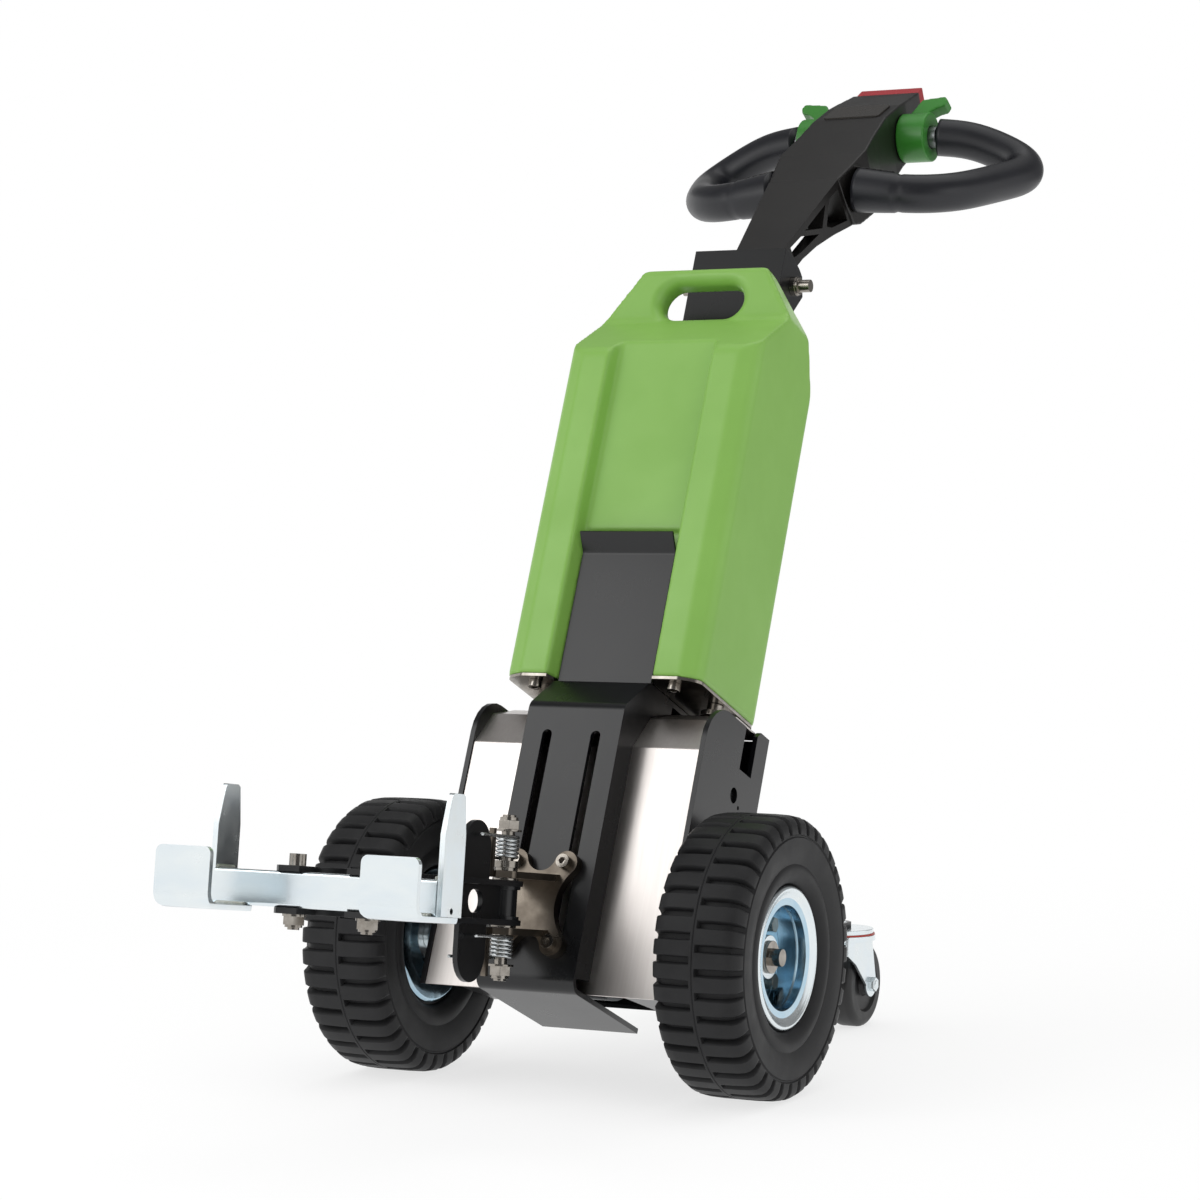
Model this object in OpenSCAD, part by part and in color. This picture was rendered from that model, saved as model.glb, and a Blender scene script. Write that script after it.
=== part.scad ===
// Walk behind electric tug: two driven wheels, two castors, a lift-off battery
// cassette on a leaning mast, a sprung hitch arm in front and a ring handle behind.
// Millimetres, +Z up, -Y towards the hitch, +Y towards the walking operator.
// Right means +X. The origin is on the floor, in the middle of the footprint.

/* [Drive wheels] */
// Outside diameter of a drive tyre
tyre_d = 260; // [230:1:280]
// Width of a drive tyre
tyre_w = 85; // [70:1:90]
// Distance between the middles of the two drive tyres
track = 365; // [355:1:420]
// Diameter over the rim's rolled edges
rim_d = 128; // [116:1:134]
// Number of tread lugs in each of a tyre's two rows
lug_count = 38; // [24:1:44]
// Depth of the tread
tread_depth = 5; // [3:0.5:7]
// Diameter of the drive axle
axle_d = 25; // [20:1:30]

/* [Castors] */
// Diameter of a castor wheel
castor_d = 89; // [75:1:92]
// Width of a castor wheel
castor_w = 30; // [24:1:34]
// Distance of each castor's swivel axis from the middle
castor_x = 90; // [84:1:110]
// Distance of the swivel axes behind the drive axle
castor_y = 420; // [380:1:480]
// Distance that a castor wheel trails its swivel axis
castor_trail = 30; // [20:1:36]

/* [Chassis] */
// Lean of the mast, the cassette and the motor housing
lean = 23; // [18:0.5:26]
// Height of the plane of the cassette's foot, below its top edge
foot_z = 357.79; // [340:0.01:380]
// Distance of that point behind the drive axle
foot_y = 102.35; // [96:0.01:120]
// Distance between the inner faces of the side plates
house_w = 239; // [236:1:246]
// Thickness of a side plate
side_t = 5; // [4:0.1:6]
// Thickness of the stainless motor cover
cover_t = 2; // [1:0.5:3]
// Width of the mast
mast_w = 92; // [80:1:94]
// Depth of the mast
mast_depth = 32; // [26:1:36]
// Diameter of the lashing hole in each side plate
lash_d = 15; // [10:1:18]

/* [Hitch bracket] */
// Width of the black hitch bracket
strip_w = 100.8; // [96:1:104]
// Thickness of its plate
strip_t = 5; // [4:0.5:6]
// Distance that it stands in front of the motor cover
strip_stand = 30.2; // [26:1:34]
// Distance between its two slots
slot_pitch = 51; // [46:1:56]
// Width of each slot
slot_w = 9.8; // [9:0.1:12]

/* [Hitch arm] */
// Backward lean of the hitch pin
pin_lean = 7.5; // [4:0.5:12]
// Diameter of the hitch pin
pin_d = 12; // [10:1:12]
// Distance from the hitch pin to the middle of the cross tube
arm_reach = 295; // [270:1:320]
// Side of the square cross tube
tube_side = 30; // [26:1:34]
// Length of the cross tube
tube_l = 213.6; // [200:1:240]
// Thickness of the arm's plates
arm_t = 5; // [4:0.5:6]
// Distance between the two bolts that hold the cross tube
arm_bolt_pitch = 71; // [62:1:76]
// Width of the slot between the hook plates and the cross tube
hook_gap = 56.5; // [40:1:70]
// Height of a hook plate
hook_h = 51; // [44:1:60]
// Width of a hook plate
hook_w = 53.5; // [44:1:56]
// Thickness of the hook and guide plates
hook_t = 5; // [4:0.5:6]
// Height of the guide plates above the cross tube
guide_h = 70.5; // [50:1:90]

/* [Springs] */
// Diameter of the spring wire
wire_d = 3; // [2.6:0.1:3.1]
// Middle diameter of a spring's coil
coil_d = 18.4; // [17.6:0.1:19]
// Number of turns of a spring
coil_turns = 5; // [4:1:6]

/* [Battery cassette] */
// Width of the cassette
case_w = 208; // [196:1:212]
// Depth of the cassette
case_depth = 144.5; // [138:0.5:148]
// Length of the cassette along the lean
case_l = 459; // [440:1:470]
// Width of its top edge
case_top_w = 133.4; // [120:1:150]
// Width of the hand slot
hand_w = 90; // [80:1:100]
// Height of the hand slot
hand_h = 38; // [32:1:40]

/* [Tiller] */
// Rise of the tiller arm above the horizontal
arm_rise = 36; // [30:1:42]
// Rise of the control head above the horizontal
head_rise = 27; // [22:1:32]
// Length of the control head
head_l = 262; // [250:1:270]
// Diameter of the handle's grips
grip_d = 41; // [36:1:42]
// Width over the handle's two loops
handle_w = 407; // [380:1:440]
// Diameter of the tiller's pivot bolt
pivot_d = 12; // [10:1:14]

/* [Hidden] */
$fn = 72;

// Shared small sizes
over = 1;             // overrun of every cut
touch_gap = 0.3;      // gap between pieces that move past each other
run_gap = 0.05;       // running clearance on the radius
fit_gap = 0.02;       // clearance on the radius of pieces seated in each other
bend_steps = 6;

// Colours
black = [0.11, 0.115, 0.125];
stainless = [0.80, 0.78, 0.75];
zinc = [0.72, 0.78, 0.82];
rubber = [0.16, 0.16, 0.165];
green = [0.44, 0.68, 0.25];
dark_plastic = [0.17, 0.17, 0.18];

// Wheels
tyre_r = tyre_d / 2;
axle_z = tyre_r;
rim_r = rim_d / 2;
seat_r = 50.8;        // radius of the tyre's seat on the rim
rim_half = 33;        // half width over the rim's edges
rim_t = 3;
disc_a = 4;           // outer face of the rim's disc, from the wheel's middle
hub_r = 46;
hub_t = 6;
hub_nose_r = 20;
hub_nose_l = 16;
wheel_pcd = 74;
wheel_bolt_d = 8;
lug_gap = 4.6;
lug_l = 33;
lug_rib = 4;          // width of the plain rib between the two rows of lugs
bead_w = 58;
screw_d = 10;
washer_t = 3;

// Chassis, in the leaning frame: x, depth d behind the cassette's front, height u
foot_u = -case_l;     // the cassette's foot, which the lower heights hang on
top_z = foot_z + case_l * cos(lean);
top_y = foot_y + case_l * sin(lean);
cover_d = -59.4;      // outer face of the motor cover
cover_low_z = 95;     // height of its lower edge
cover_turn_u = foot_u - 71;  // where its front ends and its upper chamfer starts
cover_edge = [-35, foot_u - 34];
cover_top = [5, foot_u - 16];
cover_end_d = 68;
plate_lip = 1.6;      // side plates stand proud of the cover by this
plate_top_u = foot_u - 21;
plate_round = 40;
plate_rear_d = 73.5;
plate_rear_top_u = foot_u - 15;
plate_corner = 6;
notch_d = [19.5, 47];
notch_u = foot_u - 63;
lash_du = [17.3, foot_u - 90];
pilot_d = 4;
pilot_du = [[31, foot_u - 98], [39, foot_u - 104]];
plate_low_z = 66;
plate_heel = [120, 150];
tube_r = 24;          // axle tube of the transaxle
rear_cover_t = 3;
post_xd = [92, 12];
mast_t = 4;
mast_d = plate_rear_d - 1.5;
mast_top_u = -44;
beam_z = 105.5;
beam_t = 6;
beam_front_y = 72;
beam_past = 13;
beam_waist = 50;
beam_end_w = 196;
rib_h = 36;
rib_t = 5;
chassis_bolt_u = [foot_u - 101, foot_u - 181];
tray_z = 62;
tray_t = 4;
tray_flat = 35;
tray_low_y = 68;
tray_rear = 120;
skid_end_d = 54.6;

// Hitch bracket
strip_d = cover_d - strip_stand;
strip_turn_u = foot_u - 41;
skid_u = foot_u - 316;
shelf_d = -50;
shelf_end_d = 62;
strip_bend = 13;
slot_top_u = foot_u - 67;
slot_low_u = foot_u - 285;
flange_foot_u = foot_u - 298;

// Knuckle and pin
bolt_u = [foot_u - 199, foot_u - 275.5];
knuckle_t = 10;
lobe_r = 11.5;
pin_du = [-152.8, foot_u - 254.7];
ear_t = 6;
ear_r = 14;
ear_gap = 45;
ear_root_w = 46;
pin_top = 79;
pin_low = -70;
collar_r = 12.5;
collar_h = 9.5;
nut_af = 18;
nut_h = 11;
key_bolt_d = 8;

// Arm
arm_z = tube_side / 2;
arm_round = 16;
sleeve_r = 11.5;
bush_r = 8.5;
arm_waist = 38;
finger_w = 25;
notch_l = 52;
fin_y = [-84, -34.5];
fin_h = 143.4;
fin_hole = [26, 21];
fin_hole_y = -57.5;
web_end_y = -arm_reach + 33;
tube_wall = 3;
tube_round = 3;
arm_bolt_d = 10;
guide_y = [-arm_reach - 14, -arm_reach + 19.5];
guide_top_y = [-arm_reach - 6, -arm_reach + 15.7];
guide_taper_z = 52;
guide_hole_d = 5;
guide_hole = [-arm_reach + 3, -10];
hook_mid_x = 98.2;
hook_chamfer = [20, 24];
hook_bend = 9;
hook_corner = 6;

// Springs
spring_z = [collar_h + ear_gap / 2 + ear_t, -(ear_gap / 2 + ear_t)];
coil_pitch = wire_d + 0.52;
near_leg = 67;
far_leg = 78;
curl_rings = 8;
wire_sides = 6;

// Cassette
case_front_d = -60;
case_rear_d = case_front_d + case_depth;
shoulder_u = -60;
band_u = -118;
top_depth = 22;
shoulder_depth = 51;
rear_band_u = -124;
front_chamfer = [19.5, 9];
rear_round = 12;
case_wall = 5;
rail_x = [52, 56];  // half width of the recess, at its floor and at its mouth
recess_d = -44;
pocket_d = -40;
pocket_u = foot_u + 155;
pocket_half = 52;
groove_half = 53;
groove_d = 66;
cavity_d = [-34, 60];
hand_u = -35.5;
base_t = 3;
keep_t = 3;
keep_half = 50;
keep_d = -46;
keep_turn_u = foot_u + 130;
keep_tip = [-60, foot_u + 146];
case_screws = [[-74, -45], [74, -45], [-84, 72], [84, 72]];
case_screw_d = 8;
cell_w = 88;
cell_gap = 3;
cell_depth = 88;
cell_l = 300;
link_x = -76;
link_d = 32;
link_size = [36, 20];

// Tiller
bracket_half = 51;
bracket_t = 5;
bracket_d = 68;
bracket_low_u = -84;
pivot_du = [97.6, 24.8];
arm_face_z = 15.4;
arm_root_y = -6;
seam_y = 186.3;
arm_w = [54, 80];
arm_root_w = 50;
arm_skin = 7;
arm_wall = 7;
pivot_hub_r = 16;
head_outline = [[40, 0], [46, 34], [50, 64], [46, 100], [43, 150], [43, 205], [39.7, 257]];
pod_half = 46;
sleeve_l = 47;         // length of the sleeves over the loops' roots
bar_yz = [185, -27];  // the handle's upper bar, in the head's frame
core_d = 24;
hand_bar_x = 84;
paddle_x = [43.5, 76];
paddle_r = 27;
button_travel = 3;
button_half = 37;
button_reach = 14;    // the button stands out of the head by this
button_skin = 1.5;
button_low = -36;
button_h = 35;
stem_in = 12;
stem_low = -33;
stem_h = 22;

// The footprint's middle, which is the origin
function world_y(d, u) = top_y + d * cos(lean) + u * sin(lean);
function world_z(d, u) = top_z - d * sin(lean) + u * cos(lean);
pin_y = world_y(pin_du.x, pin_du.y);
pin_z = world_z(pin_du.x, pin_du.y);
hook_front = arm_reach + arm_z + hook_gap + hook_t;
hook_r = hook_bend + hook_t;
front_y = pin_y - (hook_front - hook_r) * cos(pin_lean) - (arm_z + hook_t - hook_r) * sin(pin_lean) - hook_r;
pivot_y = world_y(pivot_du.x, pivot_du.y);
pivot_z = world_z(pivot_du.x, pivot_du.y);
seam_wy = pivot_y + seam_y * cos(arm_rise) - arm_face_z * sin(arm_rise);
seam_wz = pivot_z + seam_y * sin(arm_rise) + arm_face_z * cos(arm_rise);
rear_y = seam_wy + (head_l + button_reach) * cos(head_rise) - button_low * sin(head_rise);
axle_y = -(front_y + rear_y) / 2;

// Frames
module from_axle() { translate([0, axle_y, 0]) children(); }
module on_lean() { from_axle() translate([0, top_y, top_z]) rotate([-lean, 0, 0]) children(); }
module on_arm() { from_axle() translate([0, pin_y, pin_z]) rotate([-pin_lean, 0, 0]) children(); }
module on_tiller() { from_axle() translate([0, pivot_y, pivot_z]) rotate([arm_rise, 0, 0]) children(); }
module on_head() { from_axle() translate([0, seam_wy, seam_wz]) rotate([head_rise, 0, 0]) children(); }
module both_sides() { children(); mirror([1, 0, 0]) children(); }

// A flat outline of depth and height, made a solid of width w about the middle
module along_x(w) { rotate([90, 0, 90]) translate([0, 0, -w / 2]) linear_extrude(w) children(); }
module rod_x(r, w) { rotate([0, 90, 0]) cylinder(r = r, h = w, center = true); }
module hex(af, h) { cylinder(d = af / cos(30), h = h, $fn = 6); }

// Points in the leaning frame
function leaned(y, z) = [(y - top_y) * cos(lean) - (z - top_z) * sin(lean),
    (y - top_y) * sin(lean) + (z - top_z) * cos(lean)];
function at_height(d, z) = [d, (z - top_z + d * sin(lean)) / cos(lean)];

// Bent sheet: a line with rounded bends, then a band of thickness t on its left
function unit(v) = v / norm(v);
function turned(a, b, c, r) = let (
    u = unit(a - b), v = unit(c - b), half = acos(u * v) / 2, t = r / tan(half),
    mid = b + unit(u + v) * r / sin(half), p = b + u * t - mid, q = b + v * t - mid,
    start = atan2(p.y, p.x), sweep = ((atan2(q.y, q.x) - start + 540) % 360) - 180)
    [for (i = [0 : bend_steps]) let (a = start + sweep * i / bend_steps) mid + r * [cos(a), sin(a)]];
function bent(p, r) = concat([p[0]],
    [for (i = [1 : len(p) - 2]) each turned(p[i - 1], p[i], p[i + 1], r)], [p[len(p) - 1]]);
function left_of(p, i) = let (
    a = i > 0 ? unit(p[i] - p[i - 1]) : unit(p[1] - p[0]),
    b = i < len(p) - 1 ? unit(p[i + 1] - p[i]) : a, m = unit(a + b)) [-m.y, m.x] / (m * a);
function band(p, t) = concat(p, [for (i = [len(p) - 1 : -1 : 0]) p[i] + t * left_of(p, i)]);
module sheet(p, r, t, w) { along_x(w) polygon(band(bent(p, r), t)); }

// An upright slot of width w between two heights, cut through along the depth
module long_slot(x, low, high, w, d, depth) {
    for (u = [low + w / 2, high - w / 2])
        translate([x, d, u]) rotate([-90, 0, 0]) cylinder(d = w, h = depth);
    translate([x - w / 2, d, low + w / 2]) cube([w, depth, high - low - w]);
}

// Side plates
module side_plate() {
    front = at_height(cover_d - plate_lip, cover_low_z);
    tray_y = world_y(cover_d, at_height(cover_d, cover_low_z).y) + tray_flat;
    outline = concat([front],
        turned([cover_d - plate_lip, notch_u], [cover_d - plate_lip, plate_top_u],
            [notch_d[0], plate_top_u], plate_round),
        [[notch_d[0], plate_top_u], [notch_d[0], notch_u], [notch_d[1], notch_u],
        [notch_d[1], plate_rear_top_u - plate_corner], [notch_d[1] + plate_corner, plate_rear_top_u],
        [plate_rear_d, plate_rear_top_u], at_height(plate_rear_d, plate_heel.y),
        leaned(plate_heel.x, plate_heel.y - plate_round / 2), leaned(plate_heel.x, tray_z),
        leaned(tray_low_y, tray_z), leaned(tray_y, cover_low_z)]);
    hub = leaned(0, axle_z);
    translate([house_w / 2, 0, 0]) difference() {
        translate([side_t / 2, 0, 0]) along_x(side_t) polygon(outline);
        translate([side_t / 2, hub.x, hub.y]) rod_x(tube_r + over, side_t + 2 * over);
        translate([side_t / 2, lash_du.x, lash_du.y]) rod_x(lash_d / 2, side_t + 2 * over);
        for (p = pilot_du) translate([side_t / 2, p.x, p.y]) rod_x(pilot_d / 2, side_t + 2 * over);
    }
}
module side_plate_right() { color(black) on_lean() side_plate(); }
module side_plate_left() { color(black) on_lean() mirror([1, 0, 0]) side_plate(); }

// Brushed stainless cover over the motor
module motor_cover() {
    low = at_height(cover_d, cover_low_z);
    path = [[cover_end_d, cover_top.y], cover_top, cover_edge, [cover_d, cover_turn_u], low];
    color(stainless) on_lean() sheet(path, cover_t * 2, cover_t, house_w);
}

// Folded tray that closes the housing from below, open in front where the skid passes
module underframe_tray() {
    front = world_y(cover_d, at_height(cover_d, cover_low_z).y);
    inside = front + cover_t / cos(lean) + tray_t * tan(lean) + fit_gap;
    path = [[inside, cover_low_z], [front + tray_flat, cover_low_z], [tray_low_y, tray_z],
        [tray_rear, tray_z], [tray_rear, beam_z]];
    color(black) from_axle() difference() {
        sheet(path, tray_t * 1.5, tray_t, house_w);
        translate([-strip_w / 2 - over, front - over, tray_z - over])
            cube([strip_w + 2 * over, tray_low_y - front + over, beam_z]);
    }
}
module rear_cover() {
    low = at_height(mast_d, beam_z + beam_t);
    color(black) on_lean() translate([-house_w / 2, mast_d - rear_cover_t, low.y])
        cube([house_w, rear_cover_t, cover_top.y - cover_t - low.y]);
}

// Black folded bracket: shelf below the cassette, slotted face, skid below the hitch
module hitch_bracket() {
    shelf_u = -case_l - base_t - touch_gap;
    path = [[shelf_end_d, shelf_u], [shelf_d, shelf_u], [strip_d, strip_turn_u],
        [strip_d, skid_u], [skid_end_d, skid_u]];
    gap = touch_gap / 2;
    flange = [[strip_d + 2, skid_u + strip_bend], [strip_d + 2, strip_turn_u],
        [shelf_d, shelf_u - strip_t / 2], [cover_top.x, shelf_u - strip_t / 2],
        [cover_top.x, cover_top.y + gap], [cover_edge.x - gap, cover_edge.y + gap],
        [cover_d - gap, cover_turn_u + gap], [cover_d - gap, flange_foot_u]];
    color(black) on_lean() difference() {
        union() {
            sheet(path, strip_bend, strip_t, strip_w);
            both_sides() translate([strip_w / 2 - strip_t / 2, 0, 0]) along_x(strip_t) polygon(flange);
        }
        both_sides() long_slot(slot_pitch / 2, slot_low_u, slot_top_u, slot_w,
            strip_d - over, strip_t + 2 * over);
    }
}

// Plate in the cassette's recess that keeps its foot from sliding forwards
module retention_plate() {
    path = [keep_tip, [keep_d, keep_turn_u], [keep_d, foot_u - base_t - touch_gap]];
    color(black) on_lean() sheet(path, keep_t * 2, keep_t, keep_half * 2);
}

module mast() {
    foot = world_z(mast_d, 0);
    color(black) on_lean() difference() {
        translate([-mast_w / 2, mast_d, plate_low_z - top_z])
            cube([mast_w, mast_depth, mast_top_u - plate_low_z + top_z]);
        translate([-mast_w / 2 + mast_t, mast_d + mast_t, plate_low_z - top_z - over])
            cube([mast_w - 2 * mast_t, mast_depth, mast_top_u - plate_low_z + top_z + 2 * over]);
        rotate([lean, 0, 0]) translate([-mast_w, -top_y, -2 * top_z + beam_z + beam_t])
            cube([mast_w * 2, top_y + castor_y, top_z]);
    }
}

// Plate that carries the castors, with two stiffening ribs
module rear_beam() {
    outline = [[house_w / 2, beam_front_y], [house_w / 2, tray_rear - over],
        [beam_waist, tray_rear + castor_trail], [beam_waist, castor_y - castor_trail * 1.3],
        [beam_end_w / 2, castor_y - castor_trail], [beam_end_w / 2, castor_y + beam_past - 6],
        [beam_end_w / 2 - 6, castor_y + beam_past]];
    color(black) from_axle() difference() {
        union() {
            translate([0, 0, beam_z]) linear_extrude(beam_t) union() {
                polygon(concat(outline, [for (i = [len(outline) - 1 : -1 : 0]) [-outline[i].x,
                    outline[i].y]]));
            }
            both_sides() translate([mast_w / 2 + 2 * over, tray_rear, beam_z + beam_t])
                rotate([90, 0, 90]) linear_extrude(rib_t)
                    polygon([[0, 0], [castor_y - tray_rear - castor_trail, 0],
                        [castor_y - tray_rear - castor_trail, rib_t], [castor_trail, rib_h], [0, rib_h]]);
        }
        both_sides() translate([castor_x, castor_y, beam_z - over])
            cylinder(r = castor_stud_r, h = beam_t + 2 * over);
    }
}
castor_stud_r = 6;

// Fork at the mast's top that holds the tiller's pivot
cheek_top_u = 54;
cheek_du = [[86, 54], [107, 49], [116, 45], [125, 26], [111, 3.5]];
cheek_heel_u = -10;
module tiller_bracket() {
    cheek = concat([[bracket_d, bracket_low_u], [bracket_d, cheek_top_u]], cheek_du,
        [[mast_d + mast_depth, cheek_heel_u], [mast_d + mast_depth, bracket_low_u]]);
    color(black) on_lean() {
        difference() {
            union() {
                both_sides() translate([bracket_half - bracket_t / 2, 0, 0]) along_x(bracket_t)
                    polygon(cheek);
                translate([-bracket_half, bracket_d, bracket_low_u])
                    cube([bracket_half * 2, mast_d - bracket_d, cheek_top_u - bracket_low_u]);
            }
            translate([0, pivot_du.x, pivot_du.y]) rod_x(pivot_d / 2 + fit_gap, bracket_half * 2 + over);
        }
    }
}
pivot_cup = [10, 6];     // radius and height of the pieces on each end of the pivot
pivot_washer = [9, 2.5];
pivot_head = [6.5, 12];
module tiller_pivot_bolt() {
    color(stainless) on_lean() translate([0, pivot_du.x, pivot_du.y]) {
        rod_x(pivot_d / 2, 2 * (bracket_half + pivot_cup[1] + pivot_washer[1] + over));
        both_sides() translate([bracket_half, 0, 0]) rotate([0, 90, 0]) {
            cylinder(r = pivot_cup[0], h = pivot_cup[1]);
            translate([0, 0, pivot_cup[1]]) cylinder(r = pivot_washer[0], h = pivot_washer[1]);
            translate([0, 0, pivot_cup[1] + pivot_washer[1]]) cylinder(r = pivot_head[0], h = pivot_head[1]);
        }
    }
}

// Stainless posts on the cover that the cassette's foot rests on
post_base = [13, 5];
post_r = 8;
module cassette_seats() {
    color(stainless) on_lean() both_sides() translate([post_xd.x, post_xd.y, cover_top.y]) {
        cylinder(r = post_base[0], h = post_base[1]);
        cylinder(r = post_r, h = -case_l - base_t - touch_gap - cover_top.y);
    }
}

washer_m8 = [8, 1.6];    // radius and thickness
hex_m8 = [13, 6];        // across flats and height
module chassis_bolts() {
    color(stainless) on_lean()
        both_sides() for (u = chassis_bolt_u) translate([chassis_bolt_x, mast_d + mast_t, u])
            rotate([-90, 0, 0]) {
            cylinder(r = washer_m8[0], h = washer_m8[1]);
            translate([0, 0, washer_m8[1]]) hex(hex_m8[0], hex_m8[1]);
        }
}
chassis_bolt_x = 26;

// Drive unit inside the housing
gear_r = 50;
gear_w = 90;
motor_y = 3;
motor_foot = [30, 57];  // heights above the axle, along the lean
motor_l = 126;
brake_r = 34;
brake_l = 22;
bearing_r = 20;
bearing_w = 15;
bearing_in = 9;
flange_w = 8.2;
control_size = [34, 80, 110];
control_d = -30;
module transaxle_housing() {
    color(zinc) from_axle() translate([0, 0, axle_z]) difference() {
        union() {
            rod_x(gear_r, gear_w);
            rod_x(tube_r, house_w - 2 * over);
            both_sides() translate([house_w / 2 - flange_w / 2 - 0.1, 0, 0]) rod_x(brake_r, flange_w);
            rotate([-lean, 0, 0]) translate([0, motor_y, motor_foot[0]])
                cylinder(r = gear_r, h = motor_foot[1] - motor_foot[0]);
        }
        rod_x(axle_d / 2 + 2, house_w + over);
        both_sides() translate([house_w / 2 - bearing_in, 0, 0])
            rod_x(bearing_r + fit_gap, 2 * bearing_in + over);
    }
}
module drive_motor() {
    color(dark_plastic) from_axle() translate([0, 0, axle_z]) rotate([-lean, 0, 0])
        translate([0, motor_y, motor_foot[1]]) cylinder(r = gear_r, h = motor_l);
}
module motor_brake() {
    color(black) from_axle() translate([0, 0, axle_z]) rotate([-lean, 0, 0])
        translate([0, motor_y, motor_foot[1] + motor_l]) cylinder(r = brake_r, h = brake_l);
}
module axle_bearings() {
    color(stainless) from_axle() both_sides() translate([house_w / 2 - bearing_in, 0, axle_z]) difference() {
        rod_x(bearing_r, bearing_w);
        rod_x(axle_d / 2 + run_gap, bearing_w + over);
    }
}
module motor_controller() {
    color(dark_plastic) on_lean() translate([house_w / 2 - control_size.x, control_d,
        cover_turn_u - control_size.z - over]) cube(control_size);
}
module chassis_connector() {
    color(dark_plastic) on_lean() translate([link_x - link_size.x / 2, link_d, cover_top.y])
        cube([link_size.x, link_size.y, -case_l - base_t - plug_h - touch_gap - cover_top.y]);
}
module castor_heads() {
    color(zinc) from_axle() both_sides() translate([castor_x, castor_y, 0]) {
        translate([0, 0, beam_z - castor_head_h]) cylinder(r = castor_head_r, h = castor_head_h);
        translate([0, 0, fork_pin_low]) cylinder(r = castor_stud_r, h = beam_z - fork_pin_low);
        translate([0, 0, beam_z - over]) cylinder(r = castor_stud_r - fit_gap, h = beam_t + over);
        translate([0, 0, fork_pin_low]) cylinder(r = castor_stud_r + fork_leg, h = fork_leg);
    }
}

// Drive wheels
module on_wheel(side) { from_axle() translate([side * track / 2, 0, axle_z]) rotate([0, side * 90, 0])
    children(); }
module tyre() {
    bead = bead_w / 2 - touch_gap;
    half = [[seat_r + 0.1, bead - 3.2], [seat_r + 3.2, bead], [rim_r + 2, bead],
        [rim_r + 8, tyre_w / 2 - 3], [tyre_r - 34, tyre_w / 2],
        [tyre_r - 12, tyre_w / 2 - 1], [tyre_r - 4, tyre_w / 2 - 6], [tyre_r, tyre_w / 2 - 16]];
    profile = concat([for (p = half) [p.x, -p.y]], [for (i = [len(half) - 1 : -1 : 0]) half[i]]);
    difference() {
        rotate_extrude() polygon(profile);
        for (row = [0, 1], i = [0 : lug_count - 1]) rotate([0, 0, (i + row / 2) * 360 / lug_count])
            translate([tyre_r - tread_depth, -lug_gap / 2,
                row == 0 ? lug_rib / 2 : -lug_rib / 2 - lug_l - 10])
                cube([tread_depth * 2, lug_gap, lug_l + 10]);
    }
}
module rim() {
    difference() {
        rotate_extrude() polygon([[seat_r - rim_t, -rim_half + 1], [rim_r - 4, -rim_half],
            [rim_r, -rim_half + 2],
            [rim_r - 1, -rim_half + rim_t + 1], [seat_r + 3, -bead_w / 2 - 1], [seat_r, -bead_w / 2 + 3],
            [seat_r, bead_w / 2 - 3], [seat_r + 3, bead_w / 2 + 1], [rim_r - 1, rim_half - rim_t - 1],
            [rim_r, rim_half - 2], [rim_r - 4, rim_half], [seat_r - rim_t, rim_half - 1],
            [seat_r - rim_t, disc_a], [hub_nose_r + fit_gap, disc_a], [hub_nose_r + fit_gap, disc_a - rim_t],
            [seat_r - rim_t, disc_a - rim_t]]);
        for (i = [0 : 3]) rotate([0, 0, i * 90 + 45]) translate([wheel_pcd / 2, 0, disc_a - rim_t - over])
            cylinder(d = wheel_bolt_d + 1, h = rim_t + 2 * over);
    }
}
module wheel_hub() {
    difference() {
        union() {
            translate([0, 0, disc_a - rim_t - hub_t]) cylinder(r = hub_r, h = hub_t);
            translate([0, 0, disc_a - rim_t - hub_t - 20]) cylinder(r = 22, h = 20);
            translate([0, 0, disc_a - rim_t]) cylinder(r = hub_nose_r, h = hub_nose_l);
        }
        translate([0, 0, disc_a - rim_t - hub_t - 20 - over])
            cylinder(d = axle_d + 2 * fit_gap, h = hub_t + 20 + rim_t + hub_nose_l + 2 * over);
        for (i = [0 : 3]) rotate([0, 0, i * 90 + 45])
            translate([wheel_pcd / 2, 0, disc_a - rim_t - hub_t - over])
            cylinder(d = wheel_bolt_d + 1, h = hub_t + 2 * over);
    }
}
module wheel_screws() {
    for (i = [0 : 3]) rotate([0, 0, i * 90 + 45]) translate([wheel_pcd / 2, 0, disc_a - rim_t - hub_t]) {
        cylinder(d = wheel_bolt_d, h = hub_t + rim_t + 1);
        translate([0, 0, hub_t + rim_t]) hex(13, 7);
    }
    translate([0, 0, disc_a - rim_t + hub_nose_l]) {
        cylinder(r = 15, h = washer_t);
        translate([0, 0, washer_t]) cylinder(r = 8, h = 10);
    }
}
module drive_axle(side) {
    inner = 48;
    outer = track / 2 + disc_a - rim_t + hub_nose_l - 0.5;
    color(zinc) from_axle() translate([side * inner, 0, axle_z]) rotate([0, side * 90, 0])
        cylinder(d = axle_d, h = outer - inner);
}
module tyre_right() { color(rubber) on_wheel(1) tyre(); }
module tyre_left() { color(rubber) on_wheel(-1) tyre(); }
module rim_right() { color(zinc) on_wheel(1) rim(); }
module rim_left() { color(zinc) on_wheel(-1) rim(); }
module wheel_hub_right() { color(zinc) on_wheel(1) wheel_hub(); }
module wheel_hub_left() { color(zinc) on_wheel(-1) wheel_hub(); }
module wheel_screws_right() { color(stainless) on_wheel(1) wheel_screws(); }
module wheel_screws_left() { color(stainless) on_wheel(-1) wheel_screws(); }
module drive_axle_right() { drive_axle(1); }
module drive_axle_left() { drive_axle(-1); }

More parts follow.
